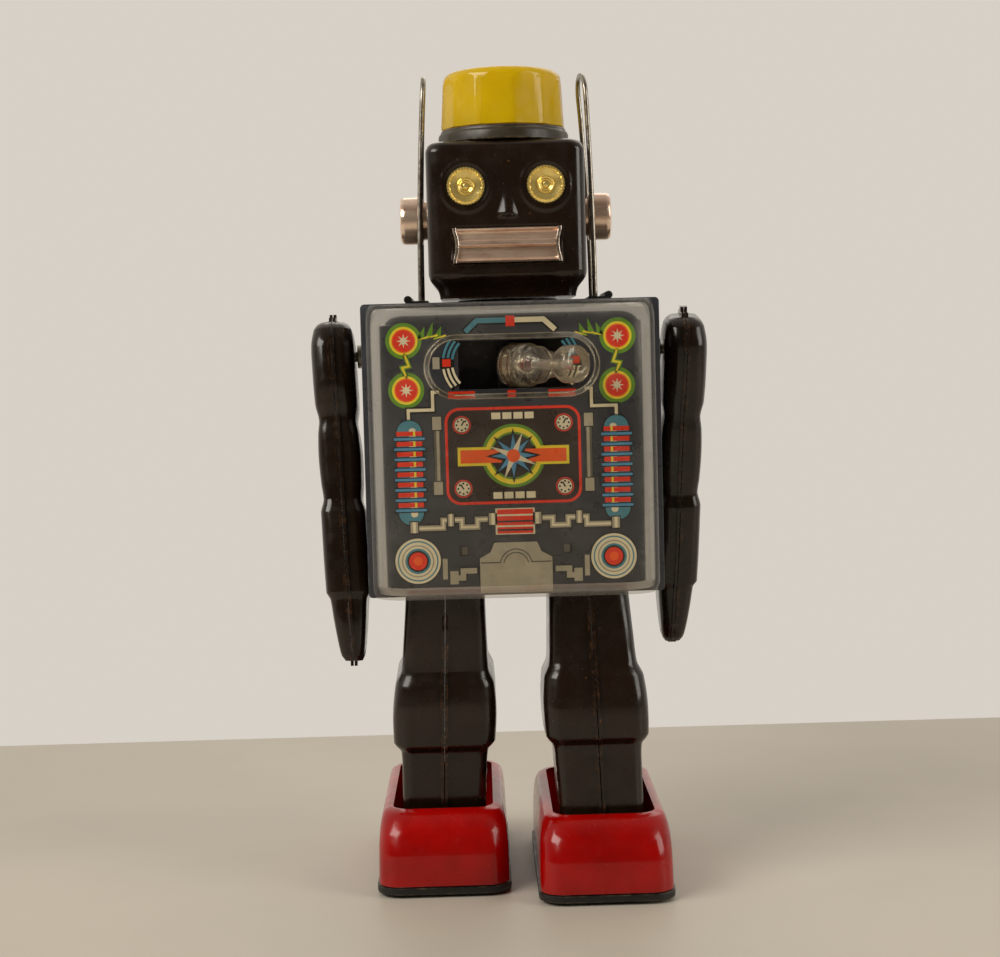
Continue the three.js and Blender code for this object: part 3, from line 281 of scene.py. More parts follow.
def cast_plastic(name, tint):
    """Thick clear plastic that bends the light, with flow marks and a few small bubbles."""
    material, tree, shader = new_material(name, tint, 0.1, Transmission_Weight=0.72, IOR=1.35)
    bubbles = remap(tree, noise(tree, 0.9, 2), 0.72, 0.78)
    base = blend_colour(tree, bubbles, tint, linear(206, 196, 176))
    tree.links.new(base, shader.inputs["Base Color"])
    vary_roughness(tree, shader, 0.08, 0.2, 3)
    set_bump(tree, shader, noise(tree, 5, 2), 0.12, 0.5)
    return material


def lamp_plastic(name, colour):
    """Translucent coloured plastic that glows where light passes through its wall."""
    material, tree, shader = new_material(name, colour, 0.2, Coat_Weight=0.4, Coat_Roughness=0.06)
    base = vary_colour(tree, colour, 0.1, 12)
    tree.links.new(base, shader.inputs["Base Color"])
    vary_roughness(tree, shader, 0.14, 0.3, 4)
    set_bump(tree, shader, noise(tree, 7, 2), 0.04, 0.3)
    glow = add_node(tree, "ShaderNodeBsdfTranslucent", {"Color": colour})
    mixed = add_node(tree, "ShaderNodeMixShader", {"Fac": 0.42})
    tree.links.new(shader.outputs[0], mixed.inputs[1])
    tree.links.new(glow.outputs[0], mixed.inputs[2])
    tree.links.new(mixed.outputs[0], tree.nodes["Material Output"].inputs["Surface"])
    return material


def printed_ink(name, colour):
    """Lithographed ink under gloss varnish, with a slight mottle and pinholes."""
    material, tree, shader = new_material(name, colour, 0.3, Coat_Weight=0.35, Coat_Roughness=0.12)
    base = vary_colour(tree, colour, 0.08, 5)
    pinholes = remap(tree, noise(tree, 0.8, 2), 0.75, 0.8, 0.0, 0.5)
    tree.links.new(blend_colour(tree, pinholes, base, linear(60, 50, 42)), shader.inputs["Base Color"])
    vary_roughness(tree, shader, 0.24, 0.42, 6)
    set_bump(tree, shader, noise(tree, 12, 2), 0.08, 0.4)
    return material


BROWN = linear(34, 24, 16)
RUST = linear(104, 70, 44)

LOOKS = {
    "brown_tin": painted_tin(
        "brown_tin", BROWN, RUST, Coat_Weight=0.3, Coat_Roughness=0.1, Specular_IOR_Level=0.35
    ),
    "panel_tin": painted_tin("panel_tin", linear(52, 54, 60), linear(112, 116, 116), (0.25, 0.42), 0.5),
    "black_tin": painted_tin("black_tin", linear(24, 23, 22), linear(120, 104, 78), (0.3, 0.5), 0.7),
    "collar_tin": painted_tin("collar_tin", linear(56, 50, 38), linear(168, 150, 118), (0.25, 0.45), 0.8),
    "red_tin": painted_tin(
        "red_tin",
        linear(156, 10, 5),
        linear(164, 62, 48),
        (0.12, 0.28),
        0.4,
        Coat_Weight=0.25,
        Coat_Roughness=0.07,
        Specular_IOR_Level=0.3,
    ),
    "grey_tin": bare_metal("grey_tin", linear(150, 146, 138), linear(92, 84, 72), (0.3, 0.5)),
    "clear_plastic": clear_shell("clear_plastic", (0.99, 0.98, 0.955, 1), 0.16, 0.02),
    "yellow_plastic": lamp_plastic("yellow_plastic", linear(240, 208, 14)),
    "black_plastic": moulded("black_plastic", linear(22, 21, 20)),
    "fibre_board": moulded("fibre_board", linear(112, 78, 50), (0.6, 0.8)),
    "chrome": bare_metal("chrome", linear(226, 214, 202), linear(170, 128, 100), (0.14, 0.3), 7, 0.5),
    # metallic 0.72 lets the pale rosy colour show as a lit diffuse layer: a painted highlight standing in for
    # the bright reflections of the chrome
    "rosy_chrome": bare_metal(
        "rosy_chrome", linear(240, 214, 192), linear(186, 124, 98), (0.12, 0.26), 3, 0.7, (0.25, 1, 1.6), 0.72
    ),
    "bead_plastic": clear_shell("bead_plastic", (0.86, 0.84, 0.78, 1), 0.1, 0.3, 1.5, 1.0),
    # metallic 0.75 lets the pale gold show as a lit diffuse layer: a painted highlight standing in for the
    # bright reflections of the metal
    "gold": bare_metal(
        "gold", linear(252, 226, 138), linear(196, 150, 62), (0.12, 0.26), 2.5, 0.4, metallic=0.75
    ),
    "brass": bare_metal("brass", linear(196, 156, 84), linear(112, 84, 42), (0.2, 0.4)),
    "steel": bare_metal("steel", linear(168, 162, 150), linear(96, 78, 58), (0.22, 0.42), 3, 0.7),
    "clear_glass": cast_plastic("clear_glass", linear(250, 246, 236)),
    "gun_plastic": clear_shell("gun_plastic", (0.9, 0.87, 0.8, 1), 0.08, 0.12, 1.6, 1.0),
    "red_glass": moulded("red_glass", linear(176, 22, 26), (0.1, 0.2), Transmission_Weight=0.5),
    "cell_jacket": moulded("cell_jacket", linear(58, 88, 124), (0.3, 0.45)),
    "rubber": moulded("rubber", linear(26, 26, 26), (0.6, 0.8)),
}


# ------------------------------------------------------------------ mesh helpers


def monotone(knots, values, at):
    """A smooth curve through the knots that never overshoots them."""
    if at <= knots[0]:
        return values[0]
    if at >= knots[-1]:
        return values[-1]
    k = max(i for i, knot in enumerate(knots[:-1]) if knot <= at)
    steps = [b - a for a, b in zip(knots, knots[1:])]
    slopes = [(b - a) / step for a, b, step in zip(values, values[1:], steps)]

    def tangent(i):
        if i in (0, len(knots) - 1) or slopes[i - 1] * slopes[i] <= 0:
            return 0.0
        return 2 * slopes[i - 1] * slopes[i] / (slopes[i - 1] + slopes[i])

    t = (at - knots[k]) / steps[k]
    rise = values[k + 1] - values[k]
    start, end = tangent(k) * steps[k], tangent(k + 1) * steps[k]
    return values[k] + t * t * (3 - 2 * t) * rise + (t**3 - 2 * t * t + t) * start + (t**3 - t * t) * end


def resample(table, step):
    """Rows [height, ...] of a section table, filled in smoothly at this spacing."""
    knots = [row[0] for row in table]
    count = max(2, round((knots[-1] - knots[0]) / step))
    heights = {round(knots[0] + (knots[-1] - knots[0]) * i / count, 4) for i in range(count + 1)}
    heights |= {round(knot, 4) for knot in knots}
    columns = list(zip(*table))[1:]
    return [[z] + [monotone(knots, column, z) for column in columns] for z in sorted(heights)]


def smooth_step(value, low, high):
    t = min(1.0, max(0.0, (value - low) / (high - low)))
    return t * t * (3 - 2 * t)


def arc(centre_x, centre_y, radius, start, end, steps):
    angles = [math.radians(start + (end - start) * i / steps) for i in range(steps + 1)]
    return [(centre_x + radius * math.cos(a), centre_y + radius * math.sin(a)) for a in angles]


def rounded_ring(x0, x1, y0, y1, radius, z, steps=6):
    corners = ((x1 - radius, y1 - radius, 0), (x0 + radius, y1 - radius, 90))
    corners += ((x0 + radius, y0 + radius, 180), (x1 - radius, y0 + radius, 270))
    flat = [point for cx, cy, start in corners for point in arc(cx, cy, radius, start, start + 90, steps)]
    return [(x, y, z) for x, y in flat]


def finish_mesh(name, verts, faces, sharp=38):
    """A mesh object in metres, faces turned outwards, smooth but for edges sharper than the angle."""
    mesh = bpy.data.meshes.new(name)
    mesh.from_pydata([tuple(c * MM for c in v) for v in verts], [], faces)
    work = bmesh.new()
    work.from_mesh(mesh)
    bmesh.ops.remove_doubles(work, verts=work.verts, dist=2e-7)
    bmesh.ops.recalc_face_normals(work, faces=work.faces)
    work.to_mesh(mesh)
    work.free()
    soften(mesh, sharp)
    obj = bpy.data.objects.new(name, mesh)
    bpy.context.scene.collection.objects.link(obj)
    return obj


def soften(mesh, sharp):
    mesh.polygons.foreach_set("use_smooth", [True] * len(mesh.polygons))
    mesh.set_sharp_from_angle(angle=math.radians(sharp))
    mesh.update()


def loft(name, rings, wrap=False, sharp=38):
    """A closed body through rings of equal point count. wrap joins the last ring to the first."""
    count = len(rings[0])
    total = len(rings)
    faces = []
    for k in range(total if wrap else total - 1):
        a, b = k * count, ((k + 1) % total) * count
        for i in range(count):
            j = (i + 1) % count
            faces.append((a + i, a + j, b + j, b + i))
    if not wrap:
        faces.append(tuple(reversed(range(count))))
        faces.append(tuple(range((total - 1) * count, total * count)))
    return finish_mesh(name, [p for ring in rings for p in ring], faces, sharp)


def turned(name, profile, sides=72, wrap=False, sharp=38, radius_at=None):
    """A body of revolution about Z. radius_at(angle, radius, z) may shape each point."""
    rings = []
    for radius, z in profile:
        ring = []
        for i in range(sides):
            angle = 2 * math.pi * i / sides
            r = radius_at(angle, radius, z) if radius_at else radius
            ring.append((r * math.cos(angle), r * math.sin(angle), z))
        rings.append(ring)
    return loft(name, rings, wrap, sharp)


def tube(name, points, radius, sides=14):
    """A closed round bar along a path."""
    path = [Vector(p) for p in points]
    rings = []
    side = Vector((0, 1, 0))
    for i, point in enumerate(path):
        ahead = path[min(i + 1, len(path) - 1)] - path[max(i - 1, 0)]
        ahead.normalize()
        side = (side - ahead * side.dot(ahead)).normalized()
        other = ahead.cross(side)
        ring = []
        for k in range(sides):
            angle = 2 * math.pi * k / sides
            ring.append(tuple(point + radius * (math.cos(angle) * side + math.sin(angle) * other)))
        rings.append(ring)
    return loft(name, rings)


def moved(obj, *matrices):
    """Applies transforms to the mesh itself, the first one first."""
    for matrix in matrices:
        obj.data.transform(matrix)
    obj.data.update()
    return obj


def shift(x, y, z):
    return Matrix.Translation((x * MM, y * MM, z * MM))


def turn(degrees, axis):
    return Matrix.Rotation(math.radians(degrees), 4, axis)


def mirrored(obj, sign):
    """The robot's right-hand version of a piece made for its left."""
    if sign < 0:
        obj.data.transform(Matrix.Scale(-1, 4, Vector((1, 0, 0))))
        obj.data.flip_normals()
    return obj


def apply_modifiers(obj, sharp=38):
    graph = bpy.context.evaluated_depsgraph_get()
    made = bpy.data.meshes.new_from_object(obj.evaluated_get(graph))
    obj.modifiers.clear()
    obj.data = made
    soften(made, sharp)
    return obj


def carve(obj, cutters, sharp=38):
    for cutter in cutters:
        tool = obj.modifiers.new("cut", "BOOLEAN")
        tool.operation = "DIFFERENCE"
        tool.solver = "EXACT"
        tool.object = cutter
    bpy.context.view_layer.update()
    apply_modifiers(obj, sharp)
    for cutter in cutters:
        bpy.data.objects.remove(cutter)
    return obj


def box_piece(name, x0, x1, y0, y1, z0, z1):
    rings = [[(x0, y0, z), (x1, y0, z), (x1, y1, z), (x0, y1, z)] for z in (z0, z1)]
    return loft(name, rings)


def show(obj, look, body, *nodes, slot=None):
    """Gives a piece its material and body, and hides the CAD nodes it stands for."""
    obj.data.materials.clear()
    obj.data.materials.append(LOOKS[look])
    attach(obj, body)
    if nodes:
        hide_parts(*nodes)
    return obj


def refined(node, width=0.25, look=None, segments=2, sharp=35):
    """A CAD node with its flat faces merged and its edges rounded over."""
    work = bmesh.new()
    work.from_mesh(NODES[node].data)
    bmesh.ops.remove_doubles(work, verts=work.verts, dist=1e-6)
    bmesh.ops.dissolve_limit(work, angle_limit=math.radians(1.5), verts=work.verts, edges=work.edges)
    mesh = bpy.data.meshes.new(node + "_skin")
    work.to_mesh(mesh)
    work.free()
    obj = bpy.data.objects.new(node + "_skin", mesh)
    bpy.context.scene.collection.objects.link(obj)
    bevel = obj.modifiers.new("edges", "BEVEL")
    bevel.width = width * MM
    bevel.segments = segments
    bevel.limit_method = "ANGLE"
    bevel.angle_limit = math.radians(32)
    bevel.use_clamp_overlap = True
    bpy.context.view_layer.update()
    apply_modifiers(obj, sharp)
    slot = SLOT_OF[node]
    return show(obj, look or slot, BODY_OF[node], node, slot=slot)


# ------------------------------------------------------------------ head


def emboss(x, z):
    """How far the face stands proud at a point: rings round the eyes, a nose, and pressed-in rests."""
    height = 0.0
    for sign in (-1, 1):
        away = math.hypot(x - sign * EYE_X, z - EYE_Z)
        height += 0.35 * math.exp(-(((away - 7.0) / 0.8) ** 2))
        height -= 1.4 * (1 - smooth_step(away, 4.4, 5.3))
    top, bottom = EYE_Z - 0.4, EYE_Z - 9.6
    down = (top - z) / (top - bottom)
    if 0 < down < 1:
        half = 0.9 + 2.6 * down
        ridge = max(0.0, 1 - (abs(x - 0.4) / half) ** 1.7)
        height += 1.7 * down**1.3 * ridge * (1 - smooth_step(down, 0.84, 1.0))
    inside = smooth_step(16.6 - abs(x), 0, 0.9) * smooth_step(5.8 - abs(z - MOUTH_Z), 0, 0.9)
    height -= 0.35 * inside
    chin = smooth_step(15 - abs(x), 0, 3) * math.exp(-(((z - 179.8) / 1.5) ** 2))
    return height + 0.5 * chin


HEAD_TABLE = [
    [HEAD_BOTTOM, 20.1, 3.0, 2.4, 4],
    [HEAD_BOTTOM + 2, 20.5, 2.4, 1.8, 4],
    [HEAD_BOTTOM + 5.8, 23.0, 0.3, 0.2, 4.2],
    [HEAD_BOTTOM + 7.4, 23.3, 0, 0, 4.2],
    [HEAD_TOP - 3.4, 23.3, 0, 0, 4.2],
    [HEAD_TOP - 1.6, 22.7, 0.6, 0.6, 4.1],
    [HEAD_TOP - 0.5, 21.5, 1.8, 1.8, 3.8],
    [HEAD_TOP, 19.9, 3.4, 3.4, 3.2],
]


def head_face():
    rings = []
    front_steps = 112
    for z, half, front_in, _, radius in resample(HEAD_TABLE, 0.45):
        front = HEAD_FRONT + front_in
        right = arc(half - radius, front + radius, radius, 0, -90, 8)
        left = arc(-half + radius, front + radius, radius, 270, 180, 8)
        flat = half - radius
        middle = []
        for i in range(1, front_steps):
            x = flat * (1 - 2 * i / front_steps)
            middle.append((x, front - emboss(x, z)))
        outline = [(half, HEAD_SPLIT)] + right + middle + left + [(-half, HEAD_SPLIT)]
        rings.append([(x, y, z) for x, y in outline])
    face = loft("head_face", rings, sharp=50)
    return show(face, "brown_tin", "torso", "head_face_shell")


def head_cap():
    rings = []
    start = HEAD_SPLIT + 0.3
    for z, half, _, back_in, radius in resample(HEAD_TABLE, 0.9):
        back = HEAD_BACK - back_in
        right = arc(half - radius, back - radius, radius, 0, 90, 8)
        left = arc(-half + radius, back - radius, radius, 90, 180, 8)
        outline = [(half, start)] + right + left + [(-half, start)]
        rings.append([(x, y, z) for x, y in outline])
    cap = loft("head_cap", rings)
    return show(cap, "brown_tin", "torso", "head_rear_cap")


def lamp_dome():
    """Twelve facets on a tapered cup, arched where they meet the rounded shoulder."""
    height = LAMP_TOP - DOME_Z

    def facet(angle, radius, z):
        within = (math.degrees(angle) - 8) % 30 - 15
        apothem = 18.15 - 0.75 * z / height
        return min(radius, apothem / math.cos(math.radians(within)))

    outside = [(18.6, 0), (18.76, 0.4), (17.9, height - 3.4)]
    for i in range(17):
        angle = math.radians(90 * i / 16)
        outside.append((14.6 + 3.1 * math.cos(angle), height - 2.9 + 2.9 * math.sin(angle)))
    inside = [(0.6, height - 1.2), (13.0, height - 1.2), (15.4, height - 3.4), (16.4, 0)]
    profile = inside + outside + [(0.6, height)]

    def shape(angle, radius, z):
        return facet(angle, radius, z) if radius > 16.45 else radius

    dome = turned("dome", profile, 360, sharp=14, radius_at=shape)
    moved(dome, shift(0, HEAD_Y, DOME_Z))
    return show(dome, "yellow_plastic", "torso", "lamp_dome")


def lamp_collar():
    z = COLLAR_Z
    profile = [(8.6, z), (19.3, z), (19.6, z + 0.3), (19.55, z + 2.4), (19.3, z + 3.1), (18.9, z + 3.4)]
    profile += [(18.8, z + 3.9), (18.5, z + 4.3), (17.6, z + 4.3), (17.2, z + 4), (17.2, z + 1), (8.6, z + 1)]
    collar = moved(turned("collar", profile, 96, wrap=True, sharp=40), shift(0, HEAD_Y, 0))
    return show(collar, "collar_tin", "torso", "lamp_collar", slot=SLOT_OF["lamp_collar"])


def eye(name, sign):
    """A pressed gold cup: a milled rim, a shallow dish, and a ring round the middle."""
    profile = [(0.3, -1.2), (EYE_R - 0.2, -1.2), (EYE_R, -1.0), (EYE_R, 0.3), (EYE_R - 0.2, 0.7), (5.0, 0.8)]
    profile += [(4.7, 0.45), (4.4, 0.4), (3.4, 0.05), (2.6, -0.1), (2.4, 0.2), (2.1, 0.45)]
    profile += [(1.8, 0.3), (1.5, -0.2), (1.1, -0.4), (0.8, 0.1), (0.3, 0.3)]

    def flute(angle, radius, z):
        if radius < 4.6:
            return radius
        return radius - 0.1 * (1 + math.cos(36 * angle))

    cup = turned("eye_cup_" + name, profile, 128, sharp=30, radius_at=flute)
    moved(cup, turn(90, "X"), shift(sign * EYE_X, HEAD_FRONT - 0.3, EYE_Z))
    return show(cup, "gold", "torso", "eye_" + name)


def ear(name, sign):
    profile = [(0.4, 0), (5.8, 0), (5.8, 1.1), (6.2, 1.3), (6.95, 1.35), (7.1, 1.6), (7.1, 6.4), (7.0, 7.1)]
    profile += [(6.7, 7.7), (6.1, 8.05), (5.5, 8.0), (5.0, 7.65), (4.4, 7.5), (0.4, 7.6)]
    cap = turned("ear_cap_" + name, profile, 96, sharp=30)
    moved(cap, turn(sign * 90, "Y"), shift(sign * 23.6, HEAD_Y, EAR_Z))
    return show(cap, "rosy_chrome", "torso", "ear_" + name, slot="chrome")


def mouth():
    """A rosy plate with rolled lips, a raised band along the middle and bright hollowed ends."""
    rings = []
    back = HEAD_FRONT - 0.3
    half_high = 5.0
    for i in range(65):
        u = -1 + 2 * i / 64
        z = MOUTH_Z + u * half_high
        lips = 0.75 * math.exp(-(((abs(u) - 0.9) / 0.09) ** 2))
        ridge = 1.3 * (smooth_step(u, -0.12, -0.04) - smooth_step(u, 0.24, 0.32))
        step = 0.3 * smooth_step(-u, -0.05, 0.05)
        front = back - 0.6 - lips - ridge - step
        half = 15.8 - 0.75 * max(0.0, 1 - (u / 0.8) ** 2)
        rings.append(rounded_ring(-half, half, front, back, 0.3, z, 3))
    for name, sign in SIDES:
        flare = []
        for i in range(33):
            u = -1 + 2 * i / 32
            side = 15.9 - 0.75 * max(0.0, 1 - (u / 0.8) ** 2)
            outer, inner = sorted((sign * side, sign * (side - 1.1)))
            z = MOUTH_Z + u * (half_high + 0.1)
            flare.append(rounded_ring(outer, inner, back - 2.1, back - 0.2, 0.3, z, 3))
        show(loft("mouth_end_" + name, flare, sharp=50), "chrome", "torso")
    return show(loft("mouth", rings, sharp=50), "rosy_chrome", "torso", "mouth_plate", slot="chrome")


# ------------------------------------------------------------------ aerials


def aerial(name, sign):
    """A hairpin of wire, its loop twisted a little towards the front."""
    base_x, top_x, top_z, half = 26, 23.6, 239.8, 9.5
    foot_z = 171.9
    loop_r = 7
    straight = top_z - loop_r - foot_z + 1
    length = 2 * straight + math.pi * loop_r
    twist = 7 if sign > 0 else 1
    points = []
    for i in range(121):
        s = length * i / 120
        on_loop = straight <= s <= straight + math.pi * loop_r
        if on_loop:
            angle = (s - straight) / loop_r
            y, z = -loop_r * math.cos(angle), top_z - loop_r + loop_r * math.sin(angle)
        else:
            up = min(s, length - s)
            y = math.copysign(half + (loop_r - half) * up / straight, s - length / 2)
            z = foot_z - 1 + up
        rise = max(0.0, (z - foot_z) / (top_z - foot_z)) ** 2
        turned_by = math.radians(twist * rise)
        x = sign * (base_x + (top_x - base_x) * rise)
        points.append((x - y * math.sin(turned_by), HEAD_Y + y * math.cos(turned_by), z))
    return show(tube("aerial_wire_" + name, points, 0.75), "steel", "torso", "aerial_" + name)


# ------------------------------------------------------------------ arms

ARM_TABLE = [
    [-ARM_LENGTH, 2.6, -4, 3.4, 1.6],
    [-ARM_LENGTH + 1.5, 3.3, -5.4, 4.6, 2.0],
    [-ARM_LENGTH + 4, 3.8, -6.8, 6.2, 2.6],
    [-79, 4.9, -8.4, 8, 3],
    [-73.4, 5.5, -8.6, 8.4, 3],
    [-71.6, 6.5, -9.8, 9.6, 3.4],
    [-60, 6.6, -10.4, 10.2, 3.6],
    [-47.8, 6.6, -9.8, 9.8, 3.4],
    [-43.6, 5.6, -8.7, 8.9, 3],
    [-39, 6, -8.9, 10, 3],
    [-31, 6.3, -9, 10.8, 3.2],
    [-24, 6, -8.8, 10, 3],
    [-20, 5.5, -8.5, 9.2, 3],
    [-15.2, 6.3, -9.8, 10, 3.6],
    [-8, 6.4, -11.4, 11.4, 4.4],
    [2, 6.4, -11, 11, 4.6],
    [7.6, 5.7, -8.6, 8.6, 4],
    [9.4, 4.6, -6.2, 6.2, 3],
    [10, 3.8, -5, 5, 2.4],
]


def lean_at(z):
    down = max(0, -z)
    return down * 0.05 if down < 20 else 1 + (down - 20) * 0.043


def half_ring(z, middle, reach, y0, y1, radius, lip, side):
    """Half of a section, from the seam round to the seam, with a crimped lip at both ends.

    side is 1 for the half on the +X side of the seam and -1 for the other.
    """
    edge = 0.9
    radius = min(radius, reach - edge - 0.05, (y1 - y0) / 2 - 0.05)
    lower = arc(reach - radius, y0 + radius, radius, 270, 360, 7)
    upper = arc(reach - radius, y1 - radius, radius, 0, 90, 7)
    outline = [(SEAM_GAP, y0 - lip), (edge, y0 - lip), (edge + 0.01, y0)] + lower + upper
    outline += [(edge + 0.01, y1), (edge, y1 + lip), (SEAM_GAP, y1 + lip)]
    return [(middle + side * x, y, z) for x, y in outline]


def arm_half(name, part, sign):
    side = 1 if part == "outer" else -1
    rings = []
    for z, half, y0, y1, radius in resample(ARM_TABLE, 1.2):
        rings.append(half_ring(z, -lean_at(z), half, y0, y1, radius, 0.9, side))
    for z, y in ((10.15, 5.0), (11.4, 4.4), (11.5, 1.6), (12.8, 1.4)):
        rings.append(half_ring(z, 0, 1.02, -y, y, 0.02, 0.1, side))
    low = -lean_at(-ARM_LENGTH)
    tips = []
    for drop, y in ((1.6, 1.5), (0.2, 2.6)):
        tips.append(half_ring(-ARM_LENGTH - drop, low, 1.02, -y, y * 0.8, 0.02, 0.1, side))
    piece = loft(f"arm_{name}_{part}_skin", tips + rings, sharp=34)
    mouth_y = [box_piece("claw", -9, 9, -3.2, 0.2, -ARM_LENGTH - 4, -ARM_LENGTH + 0.9)]
    claw = turned("claw_round", [(2.3, -9), (2.3, 9)], 40)
    moved(claw, turn(90, "Y"), shift(0, -1.5, -ARM_LENGTH + 1.2))
    carve(piece, mouth_y + [claw], 34)
    mirrored(piece, sign)
    moved(piece, turn(sign * 2 * STRIDE, "X"), shift(sign * SHOULDER[0], SHOULDER[1], SHOULDER[2]))
    return show(piece, "brown_tin", "arm_" + name, f"arm_{name}_{part}")


# ------------------------------------------------------------------ legs and feet

LEG_TABLE = [
    [-87, 12.2, -15.4, 15.4, 3.4],
    [-56, 12.6, -15.9, 15.9, 3.4],
    [-53, 12.9, -16.2, 16.2, 3.8],
    [-49.8, 15, -18.6, 18, 5],
    [-41.6, 15.3, -19.2, 18.6, 5.4],
    [-32.8, 14.6, -18, 17.6, 5],
    [-28.6, 12.9, -16.2, 16.2, 4.2],
    [-20, 12.3, -15.6, 15.6, 4],
    [-7, 11.7, -14.5, 14.5, 4.6],
    [4, 11.4, -13.4, 13.4, 4.6],
]


def leg_half(name, part, sign):
    side = 1 if part == "outer" else -1
    rings = []
    for z, half, y0, y1, radius in resample(LEG_TABLE, 1.2):
        lip = 0.9 * smooth_step(z, -86, -84.5) * (1 - smooth_step(z, -15, -12.5))
        rings.append(half_ring(z, -z / LEG_LENGTH * 2.6, half, y0, y1, radius, lip, side))
    piece = loft(f"leg_{name}_{part}_skin", rings, sharp=34)
    if part == "inner":
        slots = [box_piece("slot", -17, -7, -13, -10.8, z - 1.4, z + 1.2) for z in (-67.4, -62, -57.4)]
        carve(piece, slots, 34)
    mirrored(piece, sign)
    moved(piece, turn(-sign * STRIDE, "X"), shift(sign * HIP[0], HIP[1], HIP[2]))
    return show(piece, "brown_tin", "leg_" + name, f"leg_{name}_{part}")


def ankle_y(sign):
    return HIP[1] + LEG_LENGTH * math.sin(math.radians(-sign * STRIDE))


SHOE_TABLE = [
    [3.3, 19.1, 40.5, 40.5, 6.4],
    [12, 19.0, 39.9, 39.9, 6.8],
    [17.6, 18.7, 38.3, 38.9, 7.2],
    [21, 18.2, 35.9, 37.7, 7.4],
    [23.2, 17.3, 33.5, 36.1, 7],
    [24, 15.9, 31.9, 34.5, 6],
]


def shoe(name, sign):
    """An open pressed shoe: the wall goes up outside, rolls over the rim and comes down inside."""
    rings = []
    rows = resample(SHOE_TABLE, 0.7)
    for z, half, front, back, radius in rows:
        rings.append(rounded_ring(-half, half, 10 - front, 10 + back, radius, z, 12))
    for z, half, front, back, radius in reversed(rows):
        inside = rounded_ring(-half + 1.1, half - 1.1, 11.1 - front, 8.9 + back, radius - 0.9, z - 0.02, 12)
        rings.append(inside)
    piece = loft("shoe_skin_" + name, rings, wrap=True, sharp=50)
    moved(piece, shift(sign * FOOT_X, ankle_y(sign), 0))
    return show(piece, "red_tin", "foot_" + name, "shoe_" + name)


# ------------------------------------------------------------------ gun


def gun_place(obj):
    return moved(obj, turn(90, "X"), shift(0, 0, GUN_Z), turn(GUN_AIM, "Z"), shift(0, GUN_Y, 0))


def gun_barrel():
    """A clear ribbed body that narrows to a flared muzzle, bored through."""
    profile = [(5.6, 2.1), (5.9, 2.5)]
    for start in (2.7, 4.8, 6.9):
        profile += [(6.25, start), (6.4, start + 0.15), (6.4, start + 1.05), (6.25, start + 1.2)]
        profile += [(5.5, start + 1.3), (5.5, start + 2.0)]
    profile += [(5.4, 9.1), (5.45, 9.3), (5.45, 10.3), (5.0, 10.5), (5.0, 11.2), (5.4, 11.4), (5.4, 12.5)]
    profile += [(4.9, 13.1), (4.2, 14.4), (3.8, 17), (3.5, 20.4), (3.6, 21.2), (4.4, 21.9)]
    profile += [(5.1, 22.5), (5.4, 23.2), (5.4, 26.8), (5.2, 27.5), (4.5, 27.95), (2.6, 28)]
    profile += [(2.0, 27.6), (1.7, 26.6), (1.7, 10.4), (3.0, 9.4), (3.6, 7.8), (3.6, 2.1)]
    barrel = gun_place(turned("gun_tube", profile, 72, wrap=True, sharp=40))
    return show(barrel, "gun_plastic", "gun", "gun_barrel", slot=SLOT_OF["gun_barrel"])


def gun_reflector():
    """A disc with a milled edge and a hammered face."""

    def mill(angle, radius, z):
        return radius - (0.16 * (1 + math.cos(60 * angle)) if radius > 6.3 else 0)

    profile = [(0.3, 0.7), (6.5, 0.7), (6.7, 0.85), (6.7, 1.6), (6.5, 1.78), (5.6, 1.6), (4, 1.7), (0.3, 1.8)]
    disc = gun_place(turned("gun_disc", profile, 240, sharp=30, radius_at=mill))
    return show(disc, "chrome", "gun", "gun_reflector", slot=SLOT_OF["gun_reflector"])


def cover_bead():
    """The raised rim that runs round the window in the clear cover."""
    end_x, high, tube_r, front = 15.7, 8.4, 0.8, -39.8
    path = [(end_x, a) for a in range(-90, 91, 6)] + [(-end_x, a) for a in range(90, 271, 6)]
    rings = []
    for x, angle in path:
        out = Vector((math.cos(math.radians(angle)), 0, math.sin(math.radians(angle))))
        middle = Vector((x, front, GUN_Z)) + high * out
        ring = []
        for i in range(16):
            round_it = math.radians(22.5 * i)
            point = middle + tube_r * math.cos(round_it) * out
            ring.append((point.x, point.y + tube_r * math.sin(round_it), point.z))
        rings.append(ring)
    return show(loft("cover_bead", rings, wrap=True), "bead_plastic", "torso", slot="clear_plastic")


# ------------------------------------------------------------------ printed front


